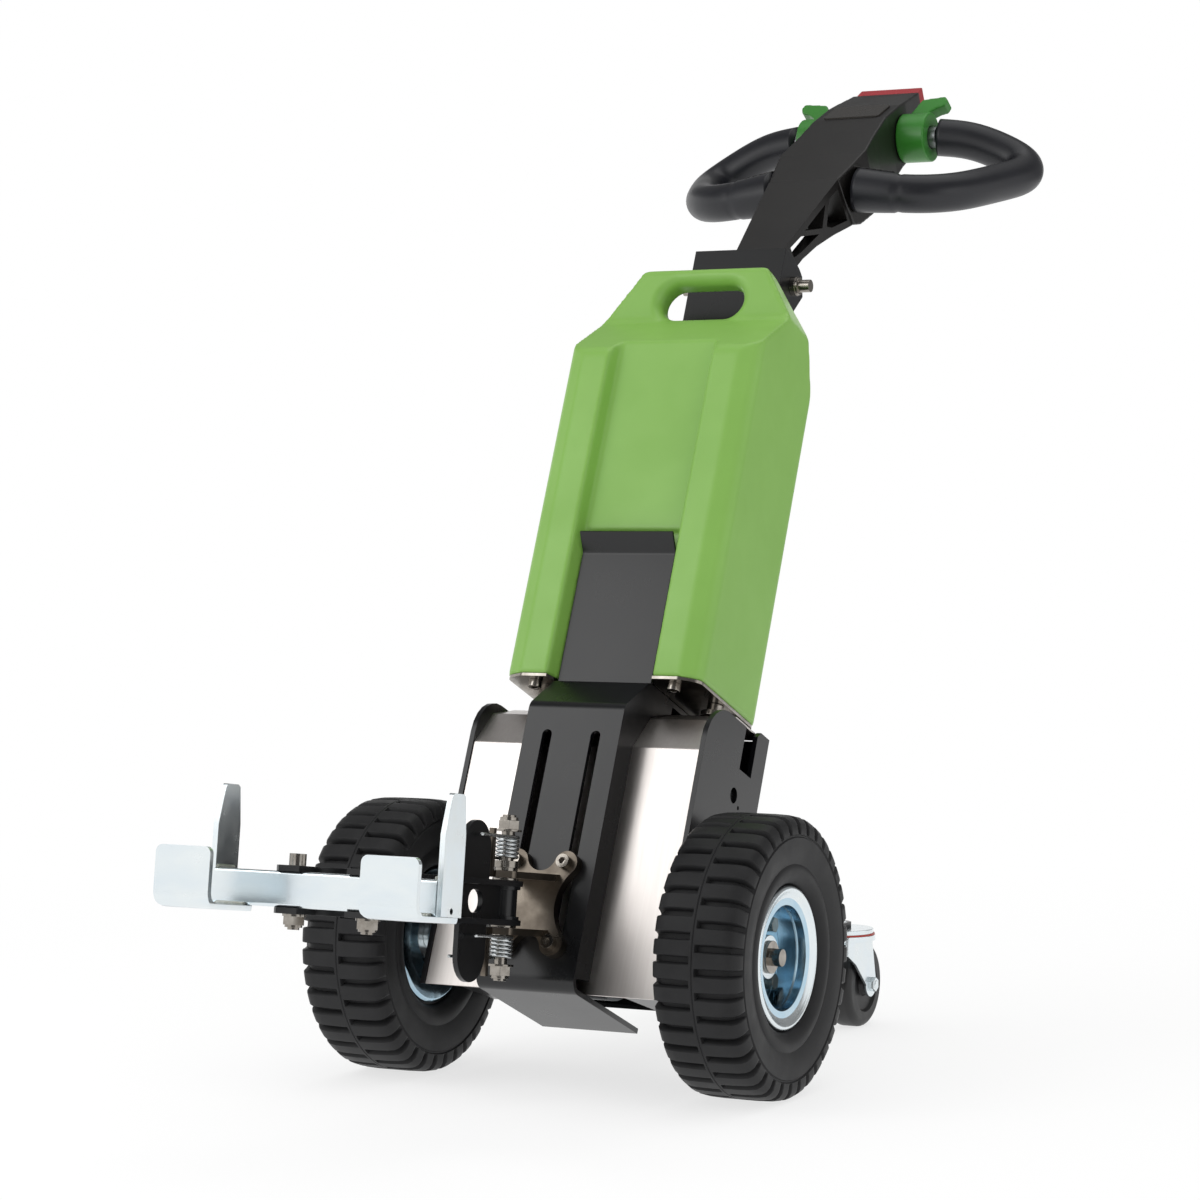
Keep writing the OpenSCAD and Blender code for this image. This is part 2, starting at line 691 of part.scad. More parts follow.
// Castors
castor_r = castor_d / 2;
castor_head_r = 33;
castor_head_h = 6;
fork_top = beam_z - castor_head_h - touch_gap;
fork_plate = 5.7;
fork_leg = 3;
fork_half = castor_w / 2 + 3;
boss_r = 13;
fork_race_r = 35;
fork_front = 31;
fork_knee = [-10, 69];
fork_lip_z = 80;
castor_bolt_r = 4;
fork_pin_low = 88;
module on_castor(side) { from_axle() translate([side * castor_x, castor_y, 0]) children(); }
module castor_fork() {
    leg = [[-fork_front, fork_top - over], [fork_front, fork_top - over],
        [castor_trail + boss_r, castor_r + over],
        [castor_trail + boss_r, castor_r], [castor_trail - boss_r, castor_r],
        [castor_trail - boss_r, castor_r + over], [fork_knee[0], fork_knee[1]], [-fork_front, fork_lip_z]];
    difference() {
        union() {
            translate([0, 0, fork_top - fork_plate]) cylinder(r = fork_race_r, h = fork_plate);
            both_sides() translate([fork_half + fork_leg / 2, 0, 0]) {
                along_x(fork_leg) polygon(leg);
                translate([0, castor_trail, castor_r]) rod_x(boss_r, fork_leg);
            }
        }
        translate([0, 0, fork_top - fork_plate - over])
            cylinder(r = castor_stud_r + run_gap, h = fork_plate + 2 * over);
        translate([0, castor_trail, castor_r]) rod_x(castor_bolt_r + fit_gap, castor_w * 3);
    }
}
module castor_wheel() {
    round_r = 8;
    half = castor_w / 2;
    translate([0, castor_trail, castor_r]) rotate([0, 90, 0]) rotate_extrude() polygon(concat(
        [[castor_bolt_r + run_gap, -half - 2], [11, -half - 2], [13, -half + 3], [27, -half + 3],
            [29, -half]],
        [for (a = [-90 : 15 : 0]) [castor_r - round_r + round_r * cos(a),
            -half + round_r + round_r * sin(a)]],
        [for (a = [0 : 15 : 90]) [castor_r - round_r + round_r * cos(a), half - round_r + round_r * sin(a)]],
        [[29, half], [27, half - 3], [13, half - 3], [11, half + 2], [castor_bolt_r + run_gap, half + 2]]));
}
module castor_axle() {
    out = fork_half + fork_leg;
    translate([0, castor_trail, castor_r]) rotate([0, 90, 0]) {
        translate([0, 0, -out - 6]) cylinder(r = castor_bolt_r, h = 2 * out + 12);
        translate([0, 0, out]) hex(13, 5.3);
        translate([0, 0, -out - 5]) hex(13, 5);
    }
}
module castor_fork_right() { color(zinc) on_castor(1) castor_fork(); }
module castor_fork_left() { color(zinc) on_castor(-1) castor_fork(); }
module castor_wheel_right() { color(rubber) on_castor(1) castor_wheel(); }
module castor_wheel_left() { color(rubber) on_castor(-1) castor_wheel(); }
module castor_axle_right() { color(zinc) on_castor(1) castor_axle(); }
module castor_axle_left() { color(zinc) on_castor(-1) castor_axle(); }

// Knuckle: four lobes with hollowed edges between them, and two ears for the pin
bolt_mid = (bolt_u[0] + bolt_u[1]) / 2;
bolt_half = [slot_pitch / 2, (bolt_u[0] - bolt_u[1]) / 2];
waist_half = [22, 30];
function hollow_r(out, along, waist) =
    (pow(waist - out, 2) + pow(along, 2) - pow(lobe_r, 2)) / (2 * (lobe_r - waist + out));
knuckle_back = strip_d - touch_gap;
ear_low = ear_gap / 2;
stop_y = [-31, -26.5];
stop_w = 5;
module lobed_outline() {
    side_r = hollow_r(bolt_half.x, bolt_half.y, waist_half.x);
    end_r = hollow_r(bolt_half.y, bolt_half.x, waist_half.y);
    side_c = [waist_half.x + side_r, 0];
    end_c = [0, waist_half.y + end_r];
    near_side = bolt_half + lobe_r * unit(side_c - bolt_half);
    near_end = bolt_half + lobe_r * unit(end_c - bolt_half);
    difference() {
        polygon([for (q = [[1, 1, 0], [1, 1, 1], [-1, 1, 1], [-1, 1, 0], [-1, -1, 0], [-1, -1, 1],
            [1, -1, 1],
            [1, -1, 0]]) let (p = q[2] == 0 ? near_side : near_end) [q[0] * p.x, q[1] * p.y]]);
        for (side = [-1, 1]) {
            translate(side * side_c) circle(r = side_r);
            translate(side * end_c) circle(r = end_r);
        }
    }
    for (sx = [-1, 1], su = [-1, 1]) translate([sx * bolt_half.x, su * bolt_half.y]) circle(r = lobe_r);
}
module ear_outline() {
    circle(r = ear_r);
    polygon([[ear_r, 0], [ear_root_w / 2, 70], [-ear_root_w / 2, 70], [-ear_r, 0],
        [-stop_w / 2 - 2, stop_y[1]], [stop_w / 2 + 2, stop_y[1]]]);
}
module knuckle() {
    color(stainless) difference() {
        union() {
            on_lean() translate([0, knuckle_back, bolt_mid]) rotate([90, 0, 0])
                linear_extrude(knuckle_t) lobed_outline();
            difference() {
                on_arm() for (z = [ear_low, -ear_low - ear_t]) translate([0, 0, z])
                    linear_extrude(ear_t) ear_outline();
                on_lean() translate([-ear_root_w, knuckle_back - knuckle_t / 2, bolt_mid - 2 * ear_root_w])
                    cube([2 * ear_root_w, ear_root_w, 4 * ear_root_w]);
            }
            on_arm() for (z = [ear_low, pin_low + 4])
                translate([-stop_w / 2, stop_y[0], z])
                    cube([stop_w, stop_y[1] - stop_y[0] + fit_gap, -pin_low - 4 - ear_low]);
        }
        on_arm() translate([0, 0, pin_low - over]) cylinder(d = pin_d + 2 * fit_gap, h = pin_top * 2);
        on_lean() for (sx = [-1, 1], su = [-1, 1])
            translate([sx * bolt_half.x, knuckle_back + over, bolt_mid + su * bolt_half.y])
                rotate([90, 0, 0])
                cylinder(d = key_bolt_d + 2 * fit_gap, h = knuckle_t + 2 * over);
    }
}
module knuckle_bolts() {
    front = knuckle_back - knuckle_t;
    back = strip_d + strip_t + touch_gap;
    color(stainless) on_lean() for (sx = [-1, 1], su = [-1, 1])
        translate([sx * bolt_half.x, 0, bolt_mid + su * bolt_half.y]) rotate([90, 0, 0]) {
            difference() {
                translate([0, 0, -front]) cylinder(r = 6.5, h = 8);
                translate([0, 0, -front + 4]) hex(6, 5);
            }
            translate([0, 0, -back - 9]) cylinder(d = key_bolt_d, h = back - front + 9 + fit_gap);
            translate([0, 0, -back - 1.6]) cylinder(r = 8, h = 1.6);
            translate([0, 0, -back - 8]) hex(13, 6.4);
        }
}
module hitch_pin() {
    color(stainless) on_arm() translate([0, 0, pin_low]) cylinder(d = pin_d, h = pin_top - pin_low);
}
module pin_hardware() {
    bore = pin_d / 2 + fit_gap;
    top = pin_top - 2 - nut_h;
    low = pin_low + 2 + nut_h;
    color(stainless) on_arm() difference() {
        union() {
            translate([0, 0, ear_low + ear_t]) cylinder(r = collar_r - 2, h = 3);
            translate([0, 0, ear_low + ear_t + 3]) cylinder(r = collar_r, h = collar_h - 3.3);
            translate([0, 0, top - 2]) cylinder(r = 12, h = 2);
            translate([0, 0, top]) hex(nut_af, nut_h - 3);
            translate([0, 0, top]) cylinder(r = 8.2, h = nut_h);
            translate([0, 0, low]) cylinder(r = 12, h = 2);
            translate([0, 0, low - nut_h + 3]) hex(nut_af, nut_h - 3);
            translate([0, 0, low - nut_h]) cylinder(r = 8.2, h = nut_h);
        }
        translate([0, 0, pin_low - over]) cylinder(r = bore, h = pin_top - pin_low + 2 * over);
    }
}

// Hitch arm: two plates joined by a sleeve, a web and a tall fin, forked in front
front_y_arm = -arm_reach - arm_z - 2;
module arm_plate() {
    half = arm_bolt_pitch / 2 + finger_w / 2;
    inner = half - finger_w;
    notch_y = front_y_arm + notch_l;
    difference() {
        union() {
            circle(r = arm_round);
            polygon([[arm_round, 0], [-arm_round, 0], [-arm_waist / 2, -60], [-arm_waist / 2, notch_y + 42],
                [-half, notch_y], [-half, front_y_arm + 5], [-half + 5, front_y_arm],
                [half - 5, front_y_arm], [half, front_y_arm + 5], [half, notch_y],
                [arm_waist / 2, notch_y + 42], [arm_waist / 2, -60]]);
        }
        translate([-inner, front_y_arm - over]) square([2 * inner, notch_l - inner + over]);
        translate([0, notch_y - inner]) circle(r = inner);
        for (x = [-1, 1]) translate([x * arm_bolt_pitch / 2, -arm_reach])
            circle(d = arm_bolt_d + 2 * fit_gap);
    }
}
module hitch_arm() {
    fin_half = (fin_y[1] - fin_y[0]) / 2;
    fin_mid = (fin_y[0] + fin_y[1]) / 2;
    color(black) on_arm() difference() {
        union() {
            for (z = [arm_z, -arm_z - arm_t]) translate([0, 0, z]) linear_extrude(arm_t) arm_plate();
            translate([0, 0, -arm_z]) cylinder(r = sleeve_r, h = 2 * arm_z);
            translate([0, 0, -arm_z - arm_t]) cylinder(r = sleeve_r + 2.5, h = arm_t + 3);
            translate([0, 0, arm_z - 3]) cylinder(r = sleeve_r + 2.5, h = arm_t + 3);
            translate([-arm_t / 2, web_end_y, -arm_z]) cube([arm_t, -web_end_y - sleeve_r + 2, 2 * arm_z]);
            translate([-arm_t / 2, fin_y[0], fin_half - fin_h / 2])
                cube([arm_t, 2 * fin_half, fin_h - 2 * fin_half]);
            for (z = [-1, 1]) translate([0, fin_mid, z * (fin_h / 2 - fin_half)]) rod_x(fin_half, arm_t);
        }
        translate([0, 0, -fin_h / 2]) cylinder(r = bush_r + fit_gap, h = fin_h);
        for (y = [-1, 1]) translate([0, fin_hole_y + y * (fin_hole.x - fin_hole.y) / 2, 0])
            rod_x(fin_hole.y / 2, arm_t + 2 * over);
        translate([-arm_t, fin_hole_y - (fin_hole.x - fin_hole.y) / 2, -fin_hole.y / 2])
            cube([2 * arm_t, fin_hole.x - fin_hole.y, fin_hole.y]);
    }
}
module arm_bushes() {
    color(stainless) on_arm() difference() {
        union() for (s = [0, 1]) mirror([0, 0, s]) {
            translate([0, 0, arm_z + arm_t]) cylinder(r = 12, h = ear_low - arm_z - arm_t - touch_gap);
            translate([0, 0, arm_z + arm_t - 16]) cylinder(r = bush_r, h = 17);
        }
        translate([0, 0, -fin_h / 2]) cylinder(r = pin_d / 2 + run_gap, h = fin_h);
    }
}

// Square tube with rounded corners, along X
function rounded(w, h, r) = [for (q = [0 : 3], i = [0 : bend_steps])
    let (a = q * 90 + 90 * i / bend_steps, sx = q == 0 || q == 3 ? 1 : -1, sy = q < 2 ? 1 : -1)
    [sx * (w / 2 - r) + r * cos(a), sy * (h / 2 - r) + r * sin(a)]];
module cross_tube() {
    color(zinc) on_arm() translate([0, -arm_reach, 0]) difference() {
        along_x(tube_l) polygon(rounded(tube_side, tube_side, tube_round));
        along_x(tube_l + 2 * over) polygon(rounded(tube_side - 2 * tube_wall, tube_side - 2 * tube_wall, 1));
        both_sides() translate([arm_bolt_pitch / 2, 0, -tube_side])
            cylinder(d = arm_bolt_d + 2 * fit_gap, h = 2 * tube_side);
    }
}
module guide_plates() {
    top = arm_z + guide_h;
    outline = [[guide_y[0], -arm_z], [guide_y[1], -arm_z], [guide_y[1], guide_taper_z],
        [guide_top_y[1], top - 2],
        [guide_top_y[1] - 3, top], [guide_top_y[0] + 3, top], [guide_top_y[0], top - 3],
            [guide_y[0], guide_taper_z]];
    color(zinc) on_arm() both_sides() difference() {
        translate([tube_l / 2 + hook_t / 2, 0, 0]) along_x(hook_t) polygon(outline);
        translate([tube_l / 2, guide_hole.x, guide_hole.y]) rod_x(guide_hole_d / 2, hook_t * 3);
    }
}
module hook_plates() {
    back_y = -arm_reach + arm_z;
    front = -hook_front;
    low = -arm_z - hook_t;
    path = [[front + hook_t, low + hook_h], [front + hook_t, low + hook_t], [back_y, low + hook_t]];
    reach = back_y - front;
    color(zinc) on_arm() both_sides() intersection() {
        translate([hook_mid_x, 0, 0]) sheet_inside(path, hook_bend, hook_t, hook_w);
        translate([hook_mid_x, back_y + over, low + hook_h / 2]) rotate([90, 0, 0])
            linear_extrude(reach + 2 * over) polygon(rounded(hook_w, hook_h, hook_corner));
        translate([hook_mid_x, 0, low - over]) linear_extrude(hook_h + 2 * over) polygon([
            [-hook_w / 2, front - over], [hook_w / 2, front - over], [hook_w / 2, back_y - hook_chamfer.y],
            [hook_w / 2 - hook_chamfer.x, back_y], [-hook_w / 2 + hook_chamfer.x, back_y],
            [-hook_w / 2, back_y - hook_chamfer.y]]);
    }
}
module sheet_inside(p, r, t, w) { along_x(w) polygon(band(bent(p, r), -t)); }
module arm_bolts() {
    color(stainless) on_arm() both_sides() translate([arm_bolt_pitch / 2, -arm_reach, 0]) {
        translate([0, 0, -33]) cylinder(d = arm_bolt_d, h = 33 + arm_z + arm_t + fit_gap);
        translate([0, 0, arm_z + arm_t]) difference() {
            cylinder(r = 7.2, h = 10);
            translate([0, 0, 5]) hex(8, 6);
        }
        translate([0, 0, -arm_z - arm_t - 2]) cylinder(r = 10, h = 2);
        translate([0, 0, -arm_z - arm_t - 9]) hex(17, 7);
        translate([0, 0, -arm_z - arm_t - 11]) cylinder(r = 7.4, h = 9);
    }
}

// Torsion springs: one wire each, wound round the pin, a leg on each side of the fin
function spring_line(z0) = let (r = coil_d / 2, n = coil_turns * curl_rings + curl_rings / 2) concat(
    [[-r, -far_leg, z0], [-r, -wire_d, z0]],
    [for (i = [0 : n]) let (a = 360 * i / curl_rings) [-r * cos(a), r * sin(a),
        z0 + coil_pitch * i / curl_rings]],
    [[r, -wire_d, z0 + coil_pitch * n / curl_rings], [r, -near_leg, z0 + coil_pitch * n / curl_rings]]);
function least_gap(p) = min([for (i = [0 : len(p) - 1], j = [i + curl_rings - 1 : 1 : len(p) - 1])
    norm(p[i] - p[j])]) - wire_d;
module wire(p) {
    count = len(p);
    points = [for (i = [0 : count - 1]) let (t = unit(p[min(i + 1, count - 1)] - p[max(i - 1, 0)]),
        side = unit(cross(t, [0, 0, 1])), up = cross(side, t))
        for (k = [0 : wire_sides - 1]) let (a = 360 * k / wire_sides)
            p[i] + wire_d / 2 * (cos(a) * side + sin(a) * up)];
    faces = concat(
        [for (i = [0 : count - 2], k = [0 : wire_sides - 1]) let (a = i * wire_sides + k,
            b = i * wire_sides + (k + 1) % wire_sides)
                each [[a, b, b + wire_sides], [a, b + wire_sides, a + wire_sides]]],
        [for (k = [1 : wire_sides - 2]) [0, k + 1, k]],
        [for (k = [1 : wire_sides - 2]) let (e = (count - 1) * wire_sides) [e, e + k, e + k + 1]]);
    polyhedron(points, faces);
}
upper_line = spring_line(spring_z[0] + touch_gap + wire_d / 2);
lower_line = spring_line(spring_z[1] - touch_gap - wire_d / 2 - coil_pitch * (coil_turns + 0.5));
echo(least_spring_gap = min(least_gap(upper_line), least_gap(lower_line)));
module upper_spring() { color(zinc) on_arm() wire(upper_line); }
module lower_spring() { color(zinc) on_arm() wire(lower_line); }

// Battery cassette: side, front and plan outlines cut one another
function corners(p, r) = [for (i = [0 : len(p) - 1])
    each turned(p[(i + len(p) - 1) % len(p)], p[i], p[(i + 1) % len(p)], r[i])];
case_half = case_w / 2;
module case_plan(inset = 0) {
    h = case_half - inset;
    polygon(corners([[-h + front_chamfer.x, case_front_d + inset],
        [h - front_chamfer.x, case_front_d + inset],
        [h, case_front_d + inset + front_chamfer.y], [h, case_rear_d - inset], [-h, case_rear_d - inset],
        [-h, case_front_d + inset + front_chamfer.y]], [8, 8, 12, rear_round, rear_round, 12]));
}
module recess_plan(depth, half) {
    polygon([[-rail_x[1] - over, case_front_d - 2 * over], [rail_x[1] + over, case_front_d - 2 * over],
        [half, depth], [-half, depth]]);
}
module hand_slot() {
    r = hand_h / 2;
    for (x = [-1, 1]) translate([x * (hand_w / 2 - r), case_front_d, hand_u]) rotate([-90, 0, 0])
        cylinder(r = r, h = case_depth);
    translate([-hand_w / 2 + r, case_front_d, hand_u - r]) cube([hand_w - hand_h, case_depth, hand_h]);
}
module cassette_shell() {
    foot = -case_l;
    side = corners([[0, 0], [top_depth, 0], [shoulder_depth, shoulder_u], [case_rear_d, rear_band_u],
        [case_rear_d, foot], [case_front_d, foot], [case_front_d, band_u], [0, shoulder_u]],
        [6, 6, 20, 20, 1, 1, 20, 14]);
    face = corners([[-case_top_w / 2, 0], [case_top_w / 2, 0], [case_half, shoulder_u], [case_half, foot],
        [-case_half, foot], [-case_half, shoulder_u]], [9, 9, 14, 1, 1, 14]);
    color(green) on_lean() difference() {
        intersection() {
            along_x(case_w + over) polygon(side);
            translate([0, case_rear_d + over, 0]) rotate([90, 0, 0]) linear_extrude(case_depth + 2 * over)
                polygon(face);
            translate([0, 0, foot - over]) linear_extrude(case_l + 2 * over) case_plan();
        }
        translate([0, 0, foot - over]) linear_extrude(case_l) recess_plan(recess_d, rail_x[0]);
        translate([-pocket_half, case_front_d, foot - over])
            cube([2 * pocket_half, pocket_d - case_front_d, pocket_u - foot + over]);
        translate([-groove_half, groove_d, foot - over])
            cube([2 * groove_half, case_depth, case_l + 2 * over]);
        translate([-case_half + 2 * case_wall, cavity_d[0], foot - over])
            cube([case_w - 4 * case_wall, cavity_d[1] - cavity_d[0], case_l + rear_band_u + over]);
        both_sides() translate([rail_x[1] + case_wall + 2, case_front_d + 2 * case_wall, foot - over])
            cube([case_half - rail_x[1] - 4 * case_wall, -case_front_d - case_wall,
                case_l + band_u - case_wall]);
        hand_slot();
        both_sides() for (p = case_screws) if (p.x > 0) translate([p.x, p.y, foot - over])
            cylinder(d = case_screw_d, h = 15);
    }
}
module cassette_base_plate() {
    color(stainless) on_lean() translate([0, 0, -case_l - base_t]) difference() {
        linear_extrude(base_t - fit_gap) case_plan(1);
        translate([0, 0, -over]) linear_extrude(base_t + 2 * over) recess_plan(recess_d, rail_x[0]);
        translate([-pocket_half, case_front_d, -over])
            cube([2 * pocket_half, pocket_d - case_front_d, base_t + 2 * over]);
        translate([-groove_half, groove_d, -over]) cube([2 * groove_half, case_depth, base_t + 2 * over]);
        for (p = case_screws) translate([p.x, p.y, -over])
            cylinder(d = case_screw_d + 2 * fit_gap, h = base_t + 2 * over);
    }
}
module cassette_screws() {
    color(stainless) on_lean() for (p = case_screws) translate([p.x, p.y, -case_l - base_t]) {
        cylinder(d = case_screw_d - 2 * fit_gap, h = base_t + 13);
        translate([0, 0, -7]) difference() {
            cylinder(r = 6.5, h = 7);
            translate([0, 0, -over]) hex(6, 4);
        }
    }
}
module battery_modules() {
    color(dark_plastic) on_lean() both_sides()
        translate([cell_gap / 2, cavity_d[0] + 2, -case_l]) cube([cell_w, cell_depth, cell_l]);
}
plug_h = 4;
module cassette_connector() {
    color(dark_plastic) on_lean() translate([link_x - link_size.x / 2, link_d, -case_l - base_t - plug_h])
        cube([link_size.x, link_size.y, plug_h]);
}

// Tiller arm: tapered front face over a trussed casting
hub_half = bracket_half - bracket_t - 0.5;
joint_low = [191.4, -44.5];
arm_belly = [[150, -31], [111.5, -21], [79, -16.2]];
arm_windows = [[[98, 7], [150, 7], [132, -11.5]], [[63, 8], [88, 6], [123, -13], [84, -9], [64, -5]],
    [[47, 7], [57, 7], [57, -6], [40, -6]], [[160, 7], [181, 7], [184, -34], [150, -22], [141, -15]]];
arm_core_y = [30, 176];
arm_taper_y = 51.6;
module tiller_arm() {
    outline = concat([[0, arm_face_z], [seam_y, arm_face_z], joint_low], arm_belly, [[0, -pivot_hub_r]]);
    color(black) on_tiller() difference() {
        union() {
            intersection() {
                along_x(arm_w[1]) polygon(outline);
                translate([0, 0, joint_low.y - over]) linear_extrude(-joint_low.y + 2 * pivot_hub_r)
                    polygon([
                    [-arm_root_w / 2, -pivot_hub_r], [arm_root_w / 2, -pivot_hub_r],
                        [arm_w[0] / 2, arm_taper_y],
                    [arm_w[1] / 2, seam_y], [arm_w[1] / 2, joint_low.x], [-arm_w[1] / 2, joint_low.x],
                    [-arm_w[1] / 2, seam_y], [-arm_w[0] / 2, arm_taper_y]]);
            }
            rod_x(pivot_hub_r, 2 * hub_half);
        }
        rod_x(pivot_d / 2 + run_gap, 2 * hub_half + over);
        for (w = arm_windows) along_x(arm_w[1] + over) polygon(w);
        translate([-arm_root_w / 2 + arm_wall, arm_core_y[0], 2 * joint_low.y])
            cube([arm_root_w - 2 * arm_wall, arm_core_y[1] - arm_core_y[0],
                arm_face_z - arm_skin - 2 * joint_low.y]);
    }
}

// Control head, in its own frame: y up its slope, z square to it
head_top = [[0, 0], [60, 7], [148, 13], [192, 10], [head_l - 5, 0]];
head_low = [[head_l - 5, -38], [226, -54], [170, -55], [110, -63], [27, -63], [14.4, -58.3]];
module control_head() {
    color(black) on_head() difference() {
        union() {
            intersection() {
                along_x(4 * head_outline[2].x) polygon(concat(head_top, head_low));
                translate([0, 0, -head_l / 2]) linear_extrude(head_l) polygon(concat(
                    [for (p = head_outline) [p.x, p.y]],
                    [for (i = [len(head_outline) - 1 : -1 : 0]) [-head_outline[i].x, head_outline[i].y]]));
            }
            both_sides() intersection() {
                $fn = 48;
                loop_root(root_r + 1.5, sleeve_l - 1);
                translate([0, loop_line[0].y + root_r / 3, loop_line[0].z - root_r / 2])
                    cube([handle_w, head_l, head_l]);
            }
        }
        both_sides() {
            $fn = 48;
            difference() {
                loop_root(root_r + fit_gap, sleeve_l + over);
                translate([-pod_half + fit_gap, -head_l / 2, -head_l / 2])
                    cube([2 * (pod_half - fit_gap), 2 * head_l, head_l]);
            }
        }
        translate([0, bar_yz.x, bar_yz.y]) rod_x(core_d / 2 + fit_gap, 4 * head_outline[2].x);
        translate([-button_half - touch_gap, head_l - stem_in - 2 * over - button_travel, stem_low - over])
            cube([2 * button_half + 2 * touch_gap, 2 * stem_in, stem_h + 2 * over]);
    }
}
module reverse_button() {
    color([0.67, 0.16, 0.18]) on_head() {
        translate([-button_half, head_l - button_skin, button_low])
            cube([2 * button_half, button_reach + button_skin, button_h]);
        translate([-button_half, head_l - stem_in, stem_low])
            cube([2 * button_half, stem_in + over, stem_h]);
    }
}
module handle_core() {
    color(zinc) on_head() translate([0, bar_yz.x, bar_yz.y]) rod_x(core_d / 2, 2 * hand_bar_x);
}

// Handle loops: a round tube along straight runs and arcs between its corners. Corners are
// shares of the handle's reach beyond its straight bar, then of the head's length along and
// square to its slope; bends are shares of the grip
loop_shares = [[-0.362, 0.107, -0.088], [0.472, 0.107, -0.135], [0.92, 0.664, -0.287],
    [0.293, 0.726, -0.137], [-0.05, 0.714, -0.105]];
bend_shares = [0, 1.78, 0.65, 2.4, 0];
loop_line = [for (p = loop_shares) [hand_bar_x + p.x * (handle_w / 2 - hand_bar_x), p.y * head_l,
    p.z * head_l]];
loop_bend = [for (b = bend_shares) b * grip_d];
function bend_cut(p, r, i) = r[i] == 0 ? 0 :
    r[i] / tan(acos(unit(p[i - 1] - p[i]) * unit(p[i + 1] - p[i])) / 2);
module aimed(at, dir) { translate(at) rotate([0, acos(dir.z), atan2(dir.y, dir.x)]) children(); }
module bent_tube(p, r, d) {
    for (i = [0 : len(p) - 2]) {
        u = unit(p[i + 1] - p[i]);
        from = p[i] + u * (i == 0 ? 0 : bend_cut(p, r, i) - over / 2);
        to = p[i + 1] - u * (i == len(p) - 2 ? 0 : bend_cut(p, r, i + 1) - over / 2);
        aimed(from, u) cylinder(d = d, h = norm(to - from));
    }
    for (i = [1 : len(p) - 2]) {
        u = unit(p[i - 1] - p[i]);
        v = unit(p[i + 1] - p[i]);
        mid = p[i] + unit(u + v) * r[i] / sin(acos(u * v) / 2);
        e = unit(p[i] + u * bend_cut(p, r, i) - mid);
        n = unit(cross(e, -u));
        g = cross(n, e);
        multmatrix([[e.x, g.x, n.x, mid.x], [e.y, g.y, n.y, mid.y], [e.z, g.z, n.z, mid.z], [0, 0, 0, 1]])
            rotate_extrude(angle = 180 - acos(u * v)) translate([r[i], 0]) circle(d = d - 2 * bend_step);
    }
}
bend_step = 0.1;
root_r = grip_d / 2 + 3.5;
module loop_root(r, w) {
    u = unit(loop_line[1] - loop_line[0]);
    aimed(loop_line[0], u) cylinder(r1 = r, r2 = r - 3, h = w);
}
module handle_loops() {
    color(dark_plastic) on_head() both_sides() difference() {
        $fn = 48;
        union() {
            bent_tube(loop_line, loop_bend, grip_d);
            loop_root(root_r, sleeve_l);
        }
        translate([-pod_half, -head_l / 2, -head_l / 2]) cube([2 * pod_half, 2 * head_l, head_l]);
        translate([-hand_bar_x - fit_gap, head_l / 2, -head_l / 2])
            cube([2 * (hand_bar_x + fit_gap), head_l, head_l]);
    }
}

// Throttles turn together on the handle's core, one on each side of the head
module throttle() {
    wing = [[paddle_x[0], 20], [paddle_x[0] + 14, 47], [84, 50], [88, 45], [86, 38], [77, 35], [70, 30],
        [68, 20]];
    difference() {
        union() {
            translate([(paddle_x[0] + paddle_x[1]) / 2, 0, 0]) rod_x(paddle_r, paddle_x[1] - paddle_x[0]);
            rotate([-59, 0, 0]) translate([0, 8, 0]) rotate([90, 0, 0]) linear_extrude(16) polygon(wing);
        }
        translate([paddle_x[0], 0, 0]) rod_x(core_d / 2 + run_gap, 4 * paddle_x[1]);
    }
}
module throttle_right() { color([0.31, 0.60, 0.24]) on_head() translate([0, bar_yz.x, bar_yz.y])
    throttle(); }
module throttle_left() {
    color([0.31, 0.60, 0.24]) on_head() mirror([1, 0, 0]) translate([0, bar_yz.x, bar_yz.y]) throttle();
}

side_plate_left();
side_plate_right();
motor_cover();
underframe_tray();
rear_cover();
hitch_bracket();
retention_plate();
mast();
rear_beam();
tiller_bracket();
cassette_seats();
chassis_bolts();
transaxle_housing();
drive_motor();
motor_brake();
axle_bearings();
motor_controller();
chassis_connector();
castor_heads();
tiller_pivot_bolt();
tyre_left();
tyre_right();
rim_left();
rim_right();
wheel_hub_left();
wheel_hub_right();
wheel_screws_left();
wheel_screws_right();
drive_axle_left();
drive_axle_right();
castor_fork_left();
castor_fork_right();
castor_wheel_left();
castor_wheel_right();
castor_axle_left();
castor_axle_right();
knuckle();
knuckle_bolts();
hitch_pin();
pin_hardware();
hitch_arm();
arm_bushes();
upper_spring();
lower_spring();
cross_tube();
hook_plates();
guide_plates();
arm_bolts();
cassette_shell();
cassette_base_plate();
cassette_screws();
battery_modules();
cassette_connector();
tiller_arm();
control_head();
handle_core();
handle_loops();
throttle_left();
throttle_right();
reverse_button();
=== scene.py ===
import math

import bmesh
import bpy
from mathutils import Matrix, Vector


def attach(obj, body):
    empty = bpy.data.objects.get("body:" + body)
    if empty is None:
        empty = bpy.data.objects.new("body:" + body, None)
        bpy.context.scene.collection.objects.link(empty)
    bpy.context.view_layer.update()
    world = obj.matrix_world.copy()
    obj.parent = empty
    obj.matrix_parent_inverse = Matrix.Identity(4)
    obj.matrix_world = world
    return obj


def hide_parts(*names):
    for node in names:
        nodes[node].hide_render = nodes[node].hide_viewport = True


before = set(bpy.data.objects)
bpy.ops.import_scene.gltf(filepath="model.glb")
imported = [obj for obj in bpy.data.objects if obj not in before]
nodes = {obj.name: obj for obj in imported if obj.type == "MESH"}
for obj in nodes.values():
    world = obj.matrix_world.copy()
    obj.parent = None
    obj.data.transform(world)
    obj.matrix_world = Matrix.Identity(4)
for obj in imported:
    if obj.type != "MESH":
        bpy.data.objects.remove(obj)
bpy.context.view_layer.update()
print("frame loaded:", len(nodes), "nodes")

